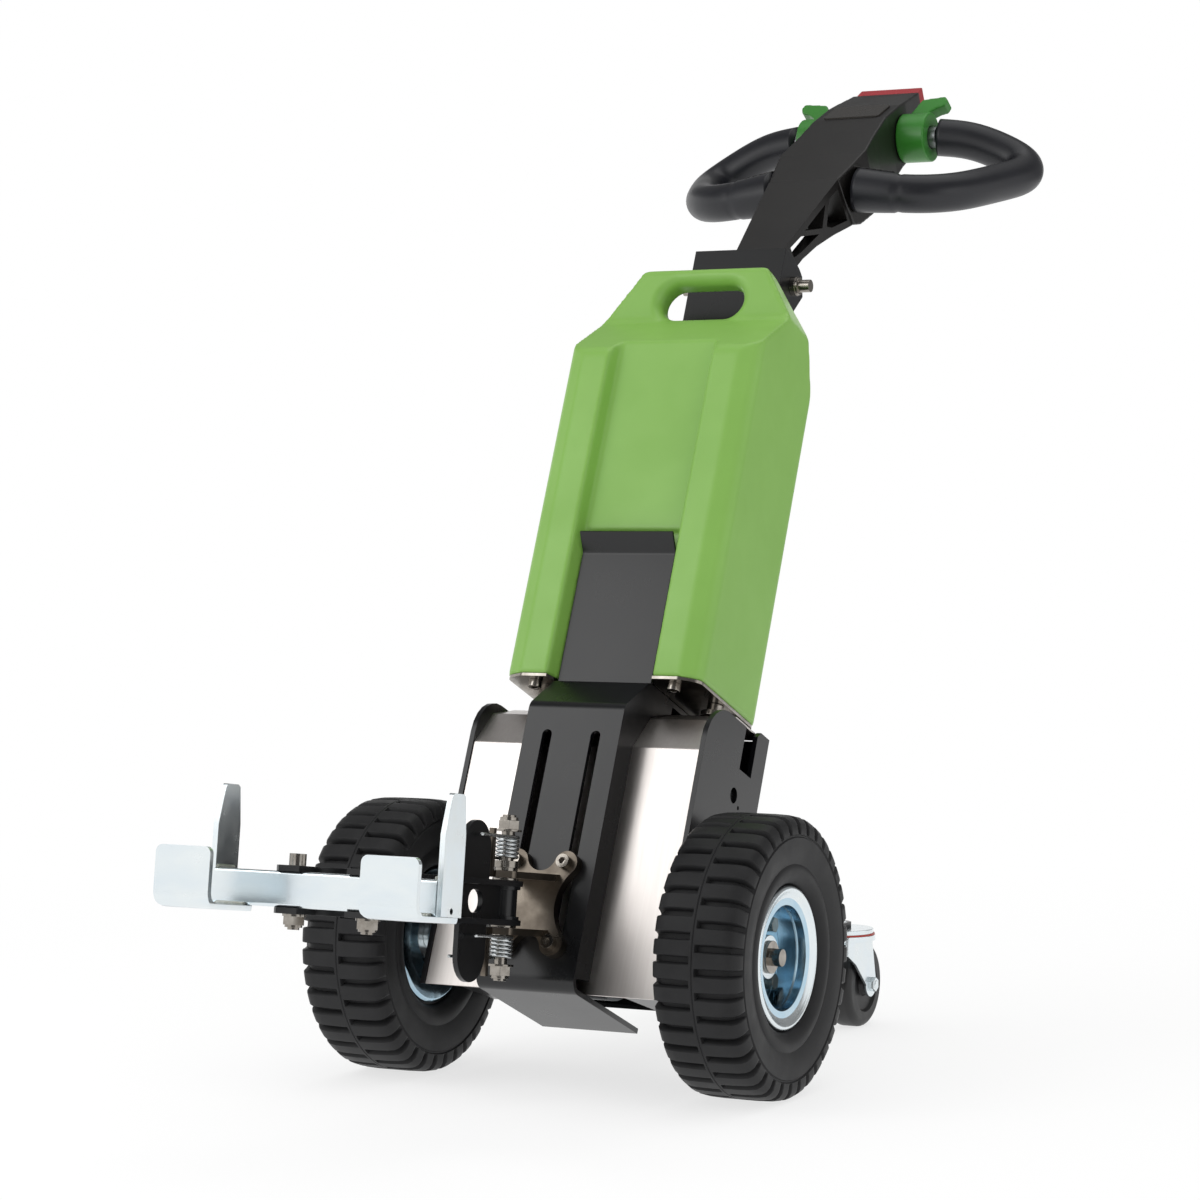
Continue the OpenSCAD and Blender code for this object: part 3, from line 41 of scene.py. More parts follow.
# Places on the machine, in millimetres, measured from the drive axle's middle
places = {
    "axleY": -139.055, "axleZ": 130, "track": 365,
    "leanAt": (0, 281.7, 780.3), "lean": 23,
    "pinAt": (0, -137.822, 183.041), "pinLean": 7.5,
    "seamAt": (0, 522.895, 886.958), "headRise": 27,
    "castorX": 90, "castorY": 420,
}


def turnedFrame(at, degrees):
    # local millimetres to world metres: a turn about X at a place given from the axle
    move = Matrix.Translation(Vector((at[0], at[1] + places["axleY"], at[2])) / 1000)
    return move @ Matrix.Rotation(math.radians(degrees), 4, "X") @ Matrix.Scale(0.001, 4)


axleFrame = turnedFrame((0, 0, 0), 0)
leanFrame = turnedFrame(places["leanAt"], -places["lean"])
armFrame = turnedFrame(places["pinAt"], -places["pinLean"])
headFrame = turnedFrame(places["seamAt"], places["headRise"])


def mirrored(side):
    # the left pieces are the right ones turned over the middle plane
    return Matrix.Scale(side, 4, (1, 0, 0))


def wheelFrame(side):
    # a drive wheel's middle, with local X along the axle to the outside
    return turnedFrame((side * places["track"] / 2, 0, places["axleZ"]), 0) @ mirrored(side)


bothSides = ((1, "right"), (-1, "left"))


def linear(hexCode):
    # sRGB hex to the linear colour that the sockets take
    parts = [int(hexCode[i:i + 2], 16) / 255 for i in (1, 3, 5)]
    return tuple(c / 12.92 if c <= 0.04045 else ((c + 0.055) / 1.055) ** 2.4 for c in parts) + (1,)


def addNode(tree, kind, settings=None, links=None):
    # settings go to the node's own property or else to the socket of that name
    node = tree.nodes.new(kind)
    for key, value in (settings or {}).items():
        if isinstance(key, str) and hasattr(node, key):
            setattr(node, key, value)
        else:
            node.inputs[key].default_value = value
    for key, (source, output) in (links or {}).items():
        tree.links.new(source.outputs[output], node.inputs[key])
    return node


def linkedMesh(name, verts, faces):
    # a mesh object in the scene with all its faces turned outward
    mesh = bpy.data.meshes.new(name)
    mesh.from_pydata(verts, [], faces)
    turned = bmesh.new()
    turned.from_mesh(mesh)
    bmesh.ops.recalc_face_normals(turned, faces=turned.faces)
    turned.to_mesh(mesh)
    turned.free()
    made = bpy.data.objects.new(name, mesh)
    bpy.context.scene.collection.objects.link(made)
    return made


def makePiece(name, verts, faces, place, material, body, replaced=()):
    # a new mesh piece from local millimetres, riding on its body
    piece = linkedMesh(name, [place @ Vector(v) for v in verts], faces)
    finishPiece(piece, material, body, replaced)
    return piece


def finishPiece(piece, material, body, replaced):
    piece.data.materials.clear()
    piece.data.materials.append(material)
    piece.data.shade_smooth()
    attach(piece, body)
    if replaced:
        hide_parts(*replaced)


def skin(rows, wrapRows=False, capEnds=False):
    # vertices and faces of a grid of points, each row one ring
    count, width = len(rows), len(rows[0])
    verts = [p for row in rows for p in row]
    faces = []
    for i in range(count if wrapRows else count - 1):
        for k in range(width):
            a, b = i * width, (i + 1) % count * width
            faces.append((a + k, a + (k + 1) % width, b + (k + 1) % width, b + k))
    if capEnds:
        faces += [tuple(range(width))[::-1], tuple(range((count - 1) * width, count * width))]
    return verts, faces


def roundedPath(points, radii, step):
    # a polyline with an arc of the given radius at each inner corner
    points = [Vector(p) for p in points]
    path = [points[0]]
    for i in range(1, len(points) - 1):
        into, out = (points[i - 1] - points[i]).normalized(), (points[i + 1] - points[i]).normalized()
        half = into.angle(out) / 2
        cut = radii[i] / math.tan(half)
        mid = points[i] + (into + out).normalized() * radii[i] / math.sin(half)
        start, end = points[i] + into * cut - mid, points[i] + out * cut - mid
        turn = math.pi - 2 * half
        count = max(3, round(turn * radii[i] / step))
        for k in range(count + 1):
            t = k / count * turn
            path.append(mid + (start * math.sin(turn - t) + end * math.sin(t)) / math.sin(turn))
    return path + [points[-1]]


def evenPath(path, step):
    # the same line with points about one step apart
    even = [path[0]]
    for a, b in zip(path, path[1:]):
        count = max(1, round((b - a).length / step))
        even += [a.lerp(b, k / count) for k in range(1, count + 1)]
    return even


def sweep(path, radiusAt, sides):
    # rings of a round tube carried along a path without twist
    rows, length = [], 0
    side = None
    for i, p in enumerate(path):
        along = (path[min(i + 1, len(path) - 1)] - path[max(i - 1, 0)]).normalized()
        if side is None:
            side = along.orthogonal().normalized()
        side = (side - along * side.dot(along)).normalized()
        up = along.cross(side)
        if i:
            length += (p - path[i - 1]).length
        r = radiusAt(length)
        rows.append([p + (side * math.cos(a) + up * math.sin(a)) * r
                     for a in [2 * math.pi * k / sides for k in range(sides)]])
    return rows


def revolve(profile, count):
    # rings about local X: profile points are (along X, radius)
    return [[Vector((x, r * math.cos(a), r * math.sin(a))) for x, r in profile]
            for a in [2 * math.pi * i / count for i in range(count)]]


def applyModifiers(piece):
    # the mesh as its modifiers leave it, put in place of the stack
    shown = piece.evaluated_get(bpy.context.evaluated_depsgraph_get())
    mesh = bpy.data.meshes.new_from_object(shown)
    piece.modifiers.clear()
    piece.data = mesh


# edges over "sharpOver" degrees shade sharp and those over "bevelOver" get a round; "weldM" is in metres
edges = {"sharpOver": 38, "bevelOver": 32, "segments": 2, "weldM": 1e-5, "smoothStep": 0.5, "softFlat": 0.7}
edgeTree = bpy.data.node_groups.new("sharpByAngle", "GeometryNodeTree")
edgeTree.interface.new_socket("Geometry", in_out="INPUT", socket_type="NodeSocketGeometry")
edgeTree.interface.new_socket("Geometry", in_out="OUTPUT", socket_type="NodeSocketGeometry")
edgeIn = addNode(edgeTree, "NodeGroupInput")
edgeAngle = addNode(edgeTree, "GeometryNodeInputMeshEdgeAngle")
edgeFlat = addNode(edgeTree, "FunctionNodeCompare",
                   {"operation": "LESS_THAN", 1: math.radians(edges["sharpOver"])},
                   {0: (edgeAngle, "Unsigned Angle")})
allSmooth = addNode(edgeTree, "GeometryNodeSetShadeSmooth", {"domain": "FACE"}, {"Geometry": (edgeIn, 0)})
edgeSmooth = addNode(edgeTree, "GeometryNodeSetShadeSmooth", {"domain": "EDGE"},
                     {"Geometry": (allSmooth, 0), "Shade Smooth": (edgeFlat, 0)})
addNode(edgeTree, "NodeGroupOutput", {}, {0: (edgeSmooth, 0)})


def dropPackedNormals(piece):
    # the pack's own normals would hide what the modifiers make
    if "custom_normal" in piece.data.attributes:
        piece.data.attributes.remove(piece.data.attributes["custom_normal"])


def weldClose(piece):
    weld = piece.modifiers.new("weld", "WELD")
    weld.merge_threshold = edges["weldM"]


def weightNormals(piece):
    weighted = piece.modifiers.new("normals", "WEIGHTED_NORMAL")
    weighted.keep_sharp = True


def refineEdges(piece, bevelMm, flatDegrees=0.6):
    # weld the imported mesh, join its flat faces and break its edges by a small round
    weldClose(piece)
    if flatDegrees:
        flat = piece.modifiers.new("flat", "DECIMATE")
        flat.decimate_type = "DISSOLVE"
        flat.angle_limit = math.radians(flatDegrees)
    if bevelMm:
        bevel = piece.modifiers.new("edges", "BEVEL")
        bevel.width = bevelMm / 1000
        bevel.segments = edges["segments"]
        bevel.limit_method = "ANGLE"
        bevel.angle_limit = math.radians(edges["bevelOver"])
        bevel.use_clamp_overlap = True
        bevel.miter_outer = "MITER_ARC"
    shade = piece.modifiers.new("shade", "NODES")
    shade.node_group = edgeTree
    weightNormals(piece)


def softCopy(name, node, voxelMm, passes, cutters=()):
    # a moulded piece from a CAD node: remeshed finely, then smoothed so its edges turn soft
    piece = bpy.data.objects.new(name, nodes[node].data.copy())
    bpy.context.scene.collection.objects.link(piece)
    dropPackedNormals(piece)
    weldClose(piece)
    for cutter in cutters:
        cut = piece.modifiers.new("cut", "BOOLEAN")
        cut.operation, cut.solver, cut.object = "DIFFERENCE", "EXACT", cutter
    remesh = piece.modifiers.new("remesh", "REMESH")
    remesh.mode, remesh.voxel_size = "VOXEL", voxelMm / 1000
    smooth = piece.modifiers.new("smooth", "SMOOTH")
    smooth.factor, smooth.iterations = edges["smoothStep"], passes
    flat = piece.modifiers.new("flat", "DECIMATE")
    flat.decimate_type, flat.angle_limit = "DISSOLVE", math.radians(edges["softFlat"])
    applyModifiers(piece)
    for cutter in cutters:
        bpy.data.objects.remove(cutter)
    piece.data.shade_smooth()
    weightNormals(piece)
    return piece


# the part of a noise's range that is used, and how rough its finer layers are
noiseSpan, noiseRough = (0.3, 0.7), 0.55


def makeMaterial(name, look):
    # colour clouds, a fine grain and a broad wave, each as large as its real size in millimetres
    material = bpy.data.materials.new(name)
    material.use_nodes = True
    tree = material.node_tree
    shader = tree.nodes["Principled BSDF"]
    shader.inputs["Base Color"].default_value = linear(look["colour"])
    for key, value in look.get("shader", {}).items():
        shader.inputs[key].default_value = value
    where = addNode(tree, "ShaderNodeTexCoord")

    def noise(sizeMm, detail, turn=0):
        size = sizeMm if isinstance(sizeMm, tuple) else (sizeMm,) * 3
        scaled = addNode(tree, "ShaderNodeMapping",
                         {"vector_type": "TEXTURE", "Scale": tuple(s / 1000 for s in size),
                          "Rotation": (math.radians(turn), 0, 0)}, {"Vector": (where, "Object")})
        return addNode(tree, "ShaderNodeTexNoise", {"Scale": 1, "Detail": detail, "Roughness": noiseRough},
                       {"Vector": (scaled, 0)})

    cloud = noise(look["cloudMm"], detail=3, turn=look.get("turn", 0))
    spread = addNode(tree, "ShaderNodeMapRange", {"From Min": noiseSpan[0], "From Max": noiseSpan[1]},
                     {"Value": (cloud, 0)})
    colours = addNode(tree, "ShaderNodeMix", {"data_type": "RGBA", 6: linear(look["colour"]),
                                              7: linear(look["cloud"])}, {0: (spread, 0)})
    tree.links.new(colours.outputs[2], shader.inputs["Base Color"])
    grain = noise(look["grainMm"], detail=2, turn=look.get("turn", 0))
    low, high = look["roughness"]
    sheen = addNode(tree, "ShaderNodeMapRange", {"From Min": noiseSpan[0], "From Max": noiseSpan[1],
                                                 "To Min": low, "To Max": high},
                    {"Value": (grain if look.get("grainSheen") else cloud, 0)})
    tree.links.new(sheen.outputs[0], shader.inputs["Roughness"])
    fine = addNode(tree, "ShaderNodeBump", {"Distance": look["grainUm"] * 1e-6, "Strength": 1},
                   {"Height": (grain, 0)})
    if look.get("waveMm"):
        wave = noise(look["waveMm"], detail=1)
        fine = addNode(tree, "ShaderNodeBump", {"Distance": look["waveUm"] * 1e-6, "Strength": 1},
                       {"Height": (wave, 0), "Normal": (fine, 0)})
    tree.links.new(fine.outputs[0], shader.inputs["Normal"])
    return material


finishes = {
    # polyester powder coat: deep black with an orange peel that breaks up its soft gloss; peel drawn 2x coarser
    "powderCoatBlack": {"colour": "#0A0B0D", "cloud": "#0D0E11", "cloudMm": 55, "grainMm": 2.2, "grainUm": 7,
                        "roughness": (0.27, 0.29), "waveMm": 60, "waveUm": 25,
                        "shader": {"Metallic": 0, "IOR": 1.5}},
    # brushed stainless sheet: warm pale grey with fine streaks along its length; streaks drawn 3x coarser
    "brushedStainless": {"colour": "#D8D2CE", "cloud": "#DDD8D4", "cloudMm": (3, 3, 160), "turn": -23,
                         "grainMm": (0.9, 0.9, 70), "grainUm": 1, "roughness": (0.3, 0.37), "grainSheen": True,
                         "shader": {"Metallic": 1}},
    # turned and pressed stainless fasteners: bright, slightly warm, small sharp highlights
    "fastenerStainless": {"colour": "#A8A39C", "cloud": "#8E8880", "cloudMm": 9, "grainMm": (0.8, 0.8, 0.5),
                          "grainUm": 1.5, "roughness": (0.14, 0.22), "shader": {"Metallic": 1}},
    # blasted stainless casting: brownish grey with a dull even grain
    "blastedStainless": {"colour": "#7A7268", "cloud": "#675F56", "cloudMm": 16, "grainMm": 1.1, "grainUm": 8,
                         "roughness": (0.26, 0.38), "shader": {"Metallic": 1}},
    # bright zinc plate: cool blue white with faint clouds of passivation
    "brightZinc": {"colour": "#E0E9EE", "cloud": "#E9EFF0", "cloudMm": (60, 18, 24), "grainMm": (30, 3, 3),
                   "grainUm": 0.8, "roughness": (0.2, 0.28), "shader": {"Metallic": 1}},
    # blue passivated rims: a strong sky blue cast in the dish
    "blueZinc": {"colour": "#A9C9DC", "cloud": "#C0D6E2", "cloudMm": 24, "grainMm": 2.5, "grainUm": 3,
                 "roughness": (0.12, 0.2), "shader": {"Metallic": 1}},
    # drawn spring wire: bright and a little warm
    "springWire": {"colour": "#D0D4D6", "cloud": "#BFC3C4", "cloudMm": 6, "grainMm": 0.8, "grainUm": 1.5,
                   "roughness": (0.2, 0.3), "shader": {"Metallic": 1}},
    # vulcanised tyre rubber: near black, dull, a faint bloom on the raised faces
    "tyreRubber": {"colour": "#222223", "cloud": "#2A2A2B", "cloudMm": 28, "grainMm": 1.6, "grainUm": 25,
                   "roughness": (0.42, 0.56), "waveMm": 12, "waveUm": 60,
                   "shader": {"Metallic": 0, "IOR": 1.52, "Specular IOR Level": 0.18}},
    # castor tread: smoother rubber with a little more gloss
    "castorRubber": {"colour": "#101011", "cloud": "#161617", "cloudMm": 12, "grainMm": 1.4, "grainUm": 18,
                     "roughness": (0.42, 0.52), "shader": {"Metallic": 0, "IOR": 1.52}},
    # rotationally moulded polyethylene: waxy leaf green, slight pitting and slow waves in the wall
    "rotomouldedGreen": {"colour": "#82B252", "cloud": "#7DAD4C", "cloudMm": 70, "grainMm": 1.8, "grainUm": 22,
                         "roughness": (0.34, 0.42), "waveMm": 45, "waveUm": 320,
                         "shader": {"Metallic": 0, "IOR": 1.51, "Subsurface Weight": 0.06,
                                    "Subsurface Radius": (0.004, 0.006, 0.002)}},
    # injection moulded ABS levers: darker green with a clean satin gloss
    "leverGreen": {"colour": "#317A27", "cloud": "#357E2B", "cloudMm": 20, "grainMm": 0.9, "grainUm": 7,
                   "roughness": (0.3, 0.36), "shader": {"Metallic": 0, "IOR": 1.53}},
    # injection moulded push button: signal red, satin
    "buttonRed": {"colour": "#A3222B", "cloud": "#9B1F27", "cloudMm": 18, "grainMm": 0.9, "grainUm": 8,
                  "roughness": (0.32, 0.4), "shader": {"Metallic": 0, "IOR": 1.53}},
    # spark eroded ABS of the head and the tiller: warm black, fine even grain, low gloss
    "texturedBlackAbs": {"colour": "#0F0D0C", "cloud": "#13110F", "cloudMm": 40, "grainMm": 1.3, "grainUm": 14,
                         "roughness": (0.34, 0.42), "shader": {"Metallic": 0, "IOR": 1.53}},
    # integral skin polyurethane grips: blue black with a soft smooth sheen
    "gripPolyurethane": {"colour": "#17181D", "cloud": "#1B1C22", "cloudMm": 35, "grainMm": 1.5, "grainUm": 10,
                         "roughness": (0.34, 0.42), "waveMm": 26, "waveUm": 110,
                         "shader": {"Metallic": 0, "IOR": 1.5}},
    # die cast aluminium of the drive unit: pale grey, dull, slightly pitted
    "castAluminium": {"colour": "#9DA0A2", "cloud": "#8E9193", "cloudMm": 20, "grainMm": 1.6, "grainUm": 30,
                      "roughness": (0.4, 0.52), "shader": {"Metallic": 1}},
    # plain drawn steel core
    "coreSteel": {"colour": "#8F9193", "cloud": "#7F8183", "cloudMm": 12, "grainMm": 1.2, "grainUm": 8,
                  "roughness": (0.3, 0.4), "shader": {"Metallic": 1}},
    # glass filled nylon of motor, plugs and hub: flat charcoal
    "nylonCharcoal": {"colour": "#232426", "cloud": "#292A2D", "cloudMm": 14, "grainMm": 1.2, "grainUm": 16,
                      "roughness": (0.45, 0.55), "shader": {"Metallic": 0, "IOR": 1.53}},
    # blank printed name plate: smooth dark film, glossier than the head round it
    "plateFilm": {"colour": "#2A2724", "cloud": "#2C2926", "cloudMm": 30, "grainMm": 2, "grainUm": 2,
                  "roughness": (0.24, 0.28), "shader": {"Metallic": 0, "IOR": 1.5}},
    # zinc plated weld: bumpy, with brown and green tarnish
    "platedWeld": {"colour": "#C9CCC8", "cloud": "#A9AA9C", "cloudMm": 4, "grainMm": 1.2, "grainUm": 60,
                   "roughness": (0.3, 0.45), "shader": {"Metallic": 1}},
    # red nylon dust seal of the castors
    "sealRed": {"colour": "#B23A2E", "cloud": "#A83328", "cloudMm": 10, "grainMm": 1, "grainUm": 10,
                "roughness": (0.35, 0.45), "shader": {"Metallic": 0, "IOR": 1.53}},
}
materials = {name: makeMaterial(name, look) for name, look in finishes.items()}
print("materials made:", len(materials))

# which finish and which edge round each carried over CAD node gets
dressing = [
    ("powderCoatBlack", 0.8, ["side_plate_left", "side_plate_right", "underframe_tray", "rear_cover",
                              "hitch_bracket", "retention_plate", "mast", "rear_beam", "tiller_bracket",
                              "hitch_arm"]),
    ("brushedStainless", 0.5, ["motor_cover"]),
    ("fastenerStainless", 0.4, ["cassette_base_plate", "cassette_seats", "chassis_bolts", "tiller_pivot_bolt",
                                "wheel_screws_left", "wheel_screws_right", "knuckle_bolts", "hitch_pin",
                                "pin_hardware", "arm_bushes", "arm_bolts", "cassette_screws", "axle_bearings"]),
    ("blastedStainless", 0.8, ["knuckle"]),
    ("brightZinc", 0.8, ["cross_tube", "hook_plates", "guide_plates", "castor_fork_left", "castor_fork_right",
                         "castor_heads", "castor_axle_left", "castor_axle_right", "drive_axle_left",
                         "drive_axle_right", "wheel_hub_left", "wheel_hub_right"]),
    ("blueZinc", 0.6, ["rim_left", "rim_right"]),
    ("castorRubber", 0.5, ["castor_wheel_left", "castor_wheel_right"]),
    ("buttonRed", 1.2, ["reverse_button"]),
    ("texturedBlackAbs", 1.0, ["tiller_arm"]),
    ("castAluminium", 0.8, ["transaxle_housing"]),
    ("coreSteel", 0.4, ["handle_core"]),
    ("nylonCharcoal", 0.6, ["drive_motor", "motor_brake", "motor_controller", "chassis_connector",
                            "cassette_connector", "battery_modules"]),
]
for finish, edge, members in dressing:
    for node in members:
        piece = nodes[node]
        piece.data.materials.clear()
        piece.data.materials.append(materials[finish])
        dropPackedNormals(piece)
        refineEdges(piece, edge)
print("CAD nodes dressed")

# battery cassette: the moulded shell with its flared hand slot
cassette = {
    "voxelMm": 2.2, "passes": 7,
    "slotHalf": (45, 19), "slotAt": -35.5, "slotPoints": 48,
    "lipDepths": (-2, 1.5, 5, 9.5), "lipGrows": (10.5, 5.6, 2.2, 0),  # flare of the hand slot's rim
    "backDepths": (22, 26, 30, 46), "backGrows": (0, 1.5, 5, 13),
}


def slotOutline(grow, depth):
    # the hand slot's outline, grown on all sides, at one depth
    half = cassette["slotHalf"]
    radius = half[1] + grow
    ring = []
    for i in range(cassette["slotPoints"]):
        a = 2 * math.pi * i / cassette["slotPoints"]
        shift = half[0] - half[1] if math.cos(a) >= 0 else half[1] - half[0]
        ring.append(Vector((shift + radius * math.cos(a), depth, cassette["slotAt"] + radius * math.sin(a))))
    return ring


def slotCutter(depths, grows):
    rows = [slotOutline(grow, depth) for depth, grow in zip(depths, grows)]
    verts, faces = skin(rows, capEnds=True)
    return linkedMesh("slotCutter", [leanFrame @ v for v in verts], faces)


shell = softCopy("cassetteShell", "cassette_shell", cassette["voxelMm"], cassette["passes"],
                 [slotCutter(cassette["lipDepths"], cassette["lipGrows"]),
                  slotCutter(cassette["backDepths"], cassette["backGrows"])])
finishPiece(shell, materials["rotomouldedGreen"], "cassette", ["cassette_shell"])
print("cassette shell:", len(shell.data.vertices), "vertices")

# moulded parts of the head, with the soft edges of their moulds: voxel in mm, smoothing passes
softParts = [
    ("headShell", "control_head", 1.2, 3, "texturedBlackAbs", "tiller"),
    ("lever.right", "throttle_right", 0.9, 12, "leverGreen", "throttle_right"),
    ("lever.left", "throttle_left", 0.9, 12, "leverGreen", "throttle_left"),
]
for name, node, voxelMm, passes, finish, body in softParts:
    piece = softCopy(name, node, voxelMm, passes)
    finishPiece(piece, materials[finish], body, [node])
print("soft head parts made")

# drive tyres with their staggered lugs
tyre = {
    "lugs": 38,
    # half section from bead to crown: across, radius, then where the bottom of a groove runs
    "section": [(25.4, 50.95), (28.6, 54), (28.6, 66), (31.5, 66.7), (35.3, 68.6), (38.4, 72), (40.1, 76.6),
                (40.5, 81), (39.9, 84), (39.1, 85.4), (39.6, 87.2), (41.3, 94), (42.2, 102), (42.3, 109.4),
                (41.1, 110.4), (41.1, 111.5), (42.4, 112.5)],
    "lugTop": [(42.4, 116.5), (41.4, 121.6), (38.9, 125.8), (35, 128.3), (28, 129.5), (16, 130), (3.4, 130)],
    "lugLow": [(39.4, 114.6), (36.6, 117.6), (34, 120), (31, 121.8), (26.4, 123), (16, 123.6), (3.4, 123.6)],
    "crown": [(2.5, 130), (0.9, 130), (0, 129.2)],
    # across one groove: degrees from its middle and how deep the wall has come
    "wall": [(-1.9, 0), (-1.55, 0.12), (-1.05, 1), (1.05, 1), (1.55, 0.12), (1.9, 0)],
}


def tyreRings():
    pitch = 360 / tyre["lugs"]
    rings = []
    for i in range(tyre["lugs"]):
        columns = [(a, g, 0) for a, g in tyre["wall"]] + [(pitch / 4, 0, 0)]
        columns += [(pitch / 2 + a, 0, g) for a, g in tyre["wall"]] + [(pitch * 3 / 4, 0, 0)]
        for angle, outerDeep, innerDeep in columns:
            turn = math.radians(i * pitch + angle)
            ring = []
            for side, deep in ((1, outerDeep), (-1, innerDeep)):
                lugs = [(t[0] + (w[0] - t[0]) * deep, t[1] + (w[1] - t[1]) * deep)
                        for t, w in zip(tyre["lugTop"], tyre["lugLow"])]
                half = [(x * side, r) for x, r in tyre["section"] + lugs + tyre["crown"]]
                ring += half if side == 1 else half[-2::-1]
            rings.append([Vector((x, r * math.cos(turn), r * math.sin(turn))) for x, r in ring])
    return rings


for side, label in bothSides:
    verts, faces = skin(tyreRings(), wrapRows=True)
    piece = makePiece("tyre." + label, verts, faces, wheelFrame(side), materials["tyreRubber"],
                      "wheel_" + label, ["tyre_" + label])
    shade = piece.modifiers.new("shade", "NODES")
    shade.node_group = edgeTree
print("tyres made")

# rolled lips of the rims: the rolled edge, the hollow face and its turn into the well, as (across, radius)
lip = {
    "section": [(30.5, 65.4), (33.2, 66), (35.2, 65.2), (36.2, 63.4), (35.9, 61.4), (34.6, 59.6),
                (33.3, 57.4), (32.6, 54.6), (31.6, 51.9), (29.6, 49.7), (26.4, 48.2), (22, 47.4),
                (22, 49), (28, 55)],
    "count": 96,
}
for side, label in bothSides:
    verts, faces = skin(revolve(lip["section"], lip["count"]), wrapRows=True)
    makePiece("rimLip." + label, verts, faces, wheelFrame(side), materials["brightZinc"],
              "wheel_" + label)
print("rim lips made")

# handle loops: two smooth grips
handle = {
    "corners": [(40.7, 28.03, -23.06), (140.42, 26.03, -35.37), (200.94, 181.97, -72.19),
                (121.05, 192.21, -33.89), (84.05, 187.59, -28.82)],
    "bends": [0, 72.98, 26.65, 98.4, 0], "grip": 20.45, "root": 24, "rootEnd": 21, "rootLength": 47,
    "jointGap": 1.2, "jointDeep": 0.7, "stepMm": 4, "easing": 40, "sides": 36,
    "inHead": (46, 60),  # points nearer to the middle than both of these are inside the head
}


def gripRadius(length):
    # the root tapers, a fine joint follows, then the grip keeps one thickness
    if length < handle["rootLength"] - handle["jointGap"]:
        return handle["root"] - (handle["root"] - handle["rootEnd"]) * length / handle["rootLength"]
    if length < handle["rootLength"] + handle["jointGap"]:
        return handle["grip"] - handle["jointDeep"]
    return handle["grip"]


for side, label in bothSides:
    path = evenPath(roundedPath(handle["corners"], handle["bends"], handle["stepMm"]), handle["stepMm"])
    for _ in range(handle["easing"]):
        path = path[:1] + [(a + b * 2 + c) / 4 for a, b, c in zip(path, path[1:], path[2:])] + path[-1:]
    path = [p for p in path if p.x > handle["inHead"][0] or p.y > handle["inHead"][1]]
    verts, faces = skin(sweep(path, gripRadius, handle["sides"]), capEnds=True)
    makePiece("gripLoop." + label, verts, faces, headFrame @ mirrored(side),
              materials["gripPolyurethane"], "tiller", ["handle_loops"] if side == 1 else [])
print("handle loops made")

# torsion springs of the hitch arm
spring = {
    "coilR": 9.2, "wireR": 1.5, "turns": 5.5, "pitch": 3.52, "nearLeg": 67, "farLeg": 78,
    "starts": {"upper": 39.8, "lower": -49.66}, "perTurn": 28, "legStep": 5, "legBend": 3, "sides": 14,
}
for label, start in spring["starts"].items():
    count = round(spring["turns"] * spring["perTurn"])
    r = spring["coilR"]
    coil = []
    for i in range(count + 1):
        a = 2 * math.pi * i / spring["perTurn"]
        rise = spring["pitch"] * i / spring["perTurn"]
        coil.append(Vector((-r * math.cos(a), r * math.sin(a), start + rise)))
    end = coil[-1].z
    bend = -spring["legBend"]
    path = evenPath([Vector((-r, -spring["farLeg"], start)), Vector((-r, bend, start))], spring["legStep"])
    path += coil
    path += evenPath([Vector((r, bend, end)), Vector((r, -spring["nearLeg"], end))], spring["legStep"])
    verts, faces = skin(sweep(path, lambda length: spring["wireR"], spring["sides"]), capEnds=True)
    makePiece("spring." + label, verts, faces, armFrame, materials["springWire"], "arm",
              [label + "_spring"])
print("springs made")

# weld beads on the cross tube
weld = {
    "radius": 1.3, "ripple": 0.4, "rippleMm": 2.6, "endShare": 0.35, "endMm": 3, "stepMm": 0.65, "sides": 12,
    "lines": [((74, -311, -14), (104, -311, -14)), ((105.4, -310, 16.2), (105.4, -282, 16.2))],
}
for side, label in bothSides:
    for number, (a, b) in enumerate(weld["lines"]):
        path = evenPath([Vector((side * a[0], *a[1:])), Vector((side * b[0], *b[1:]))], weld["stepMm"])
        total = (path[-1] - path[0]).length

        def beadRadius(length):
            ends = min(1, weld["endShare"] + min(length, total - length) / weld["endMm"])
            return (weld["radius"] + weld["ripple"] * abs(math.sin(math.pi * length / weld["rippleMm"]))) * ends

        verts, faces = skin(sweep(path, beadRadius, weld["sides"]), capEnds=True)
        makePiece(f"weld.{label}{number}", verts, faces, armFrame, materials["platedWeld"], "arm")
print("weld beads made")

# blank name plate on the head
plate = {"half": (33, 21), "corner": 6, "at": (170, 12.1), "slope": -3.9, "cornerSteps": 6,
         "layers": [(-1.5, 0), (0.9, 0), (1.3, 0.5)]}  # height and inset from its foot to its top
rows = []
for lift, inset in plate["layers"]:
    ring = []
    for quarter in range(4):
        for k in range(plate["cornerSteps"] + 1):
            a = math.radians(quarter * 90 + k * 90 / plate["cornerSteps"])
            cx = (plate["half"][0] - plate["corner"]) * (1 if quarter in (0, 3) else -1)
            cy = (plate["half"][1] - plate["corner"]) * (1 if quarter < 2 else -1)
            r = plate["corner"] - inset
            ring.append(Vector((cx + r * math.cos(a), cy + r * math.sin(a), lift)))
    rows.append(ring)
verts, faces = skin(rows, capEnds=True)
plateFrame = headFrame @ Matrix.Translation((0, *plate["at"]))
plateFrame = plateFrame @ Matrix.Rotation(math.radians(plate["slope"]), 4, "X")
piece = makePiece("namePlate", verts, faces, plateFrame, materials["plateFilm"], "tiller")
refineEdges(piece, 0, 0)

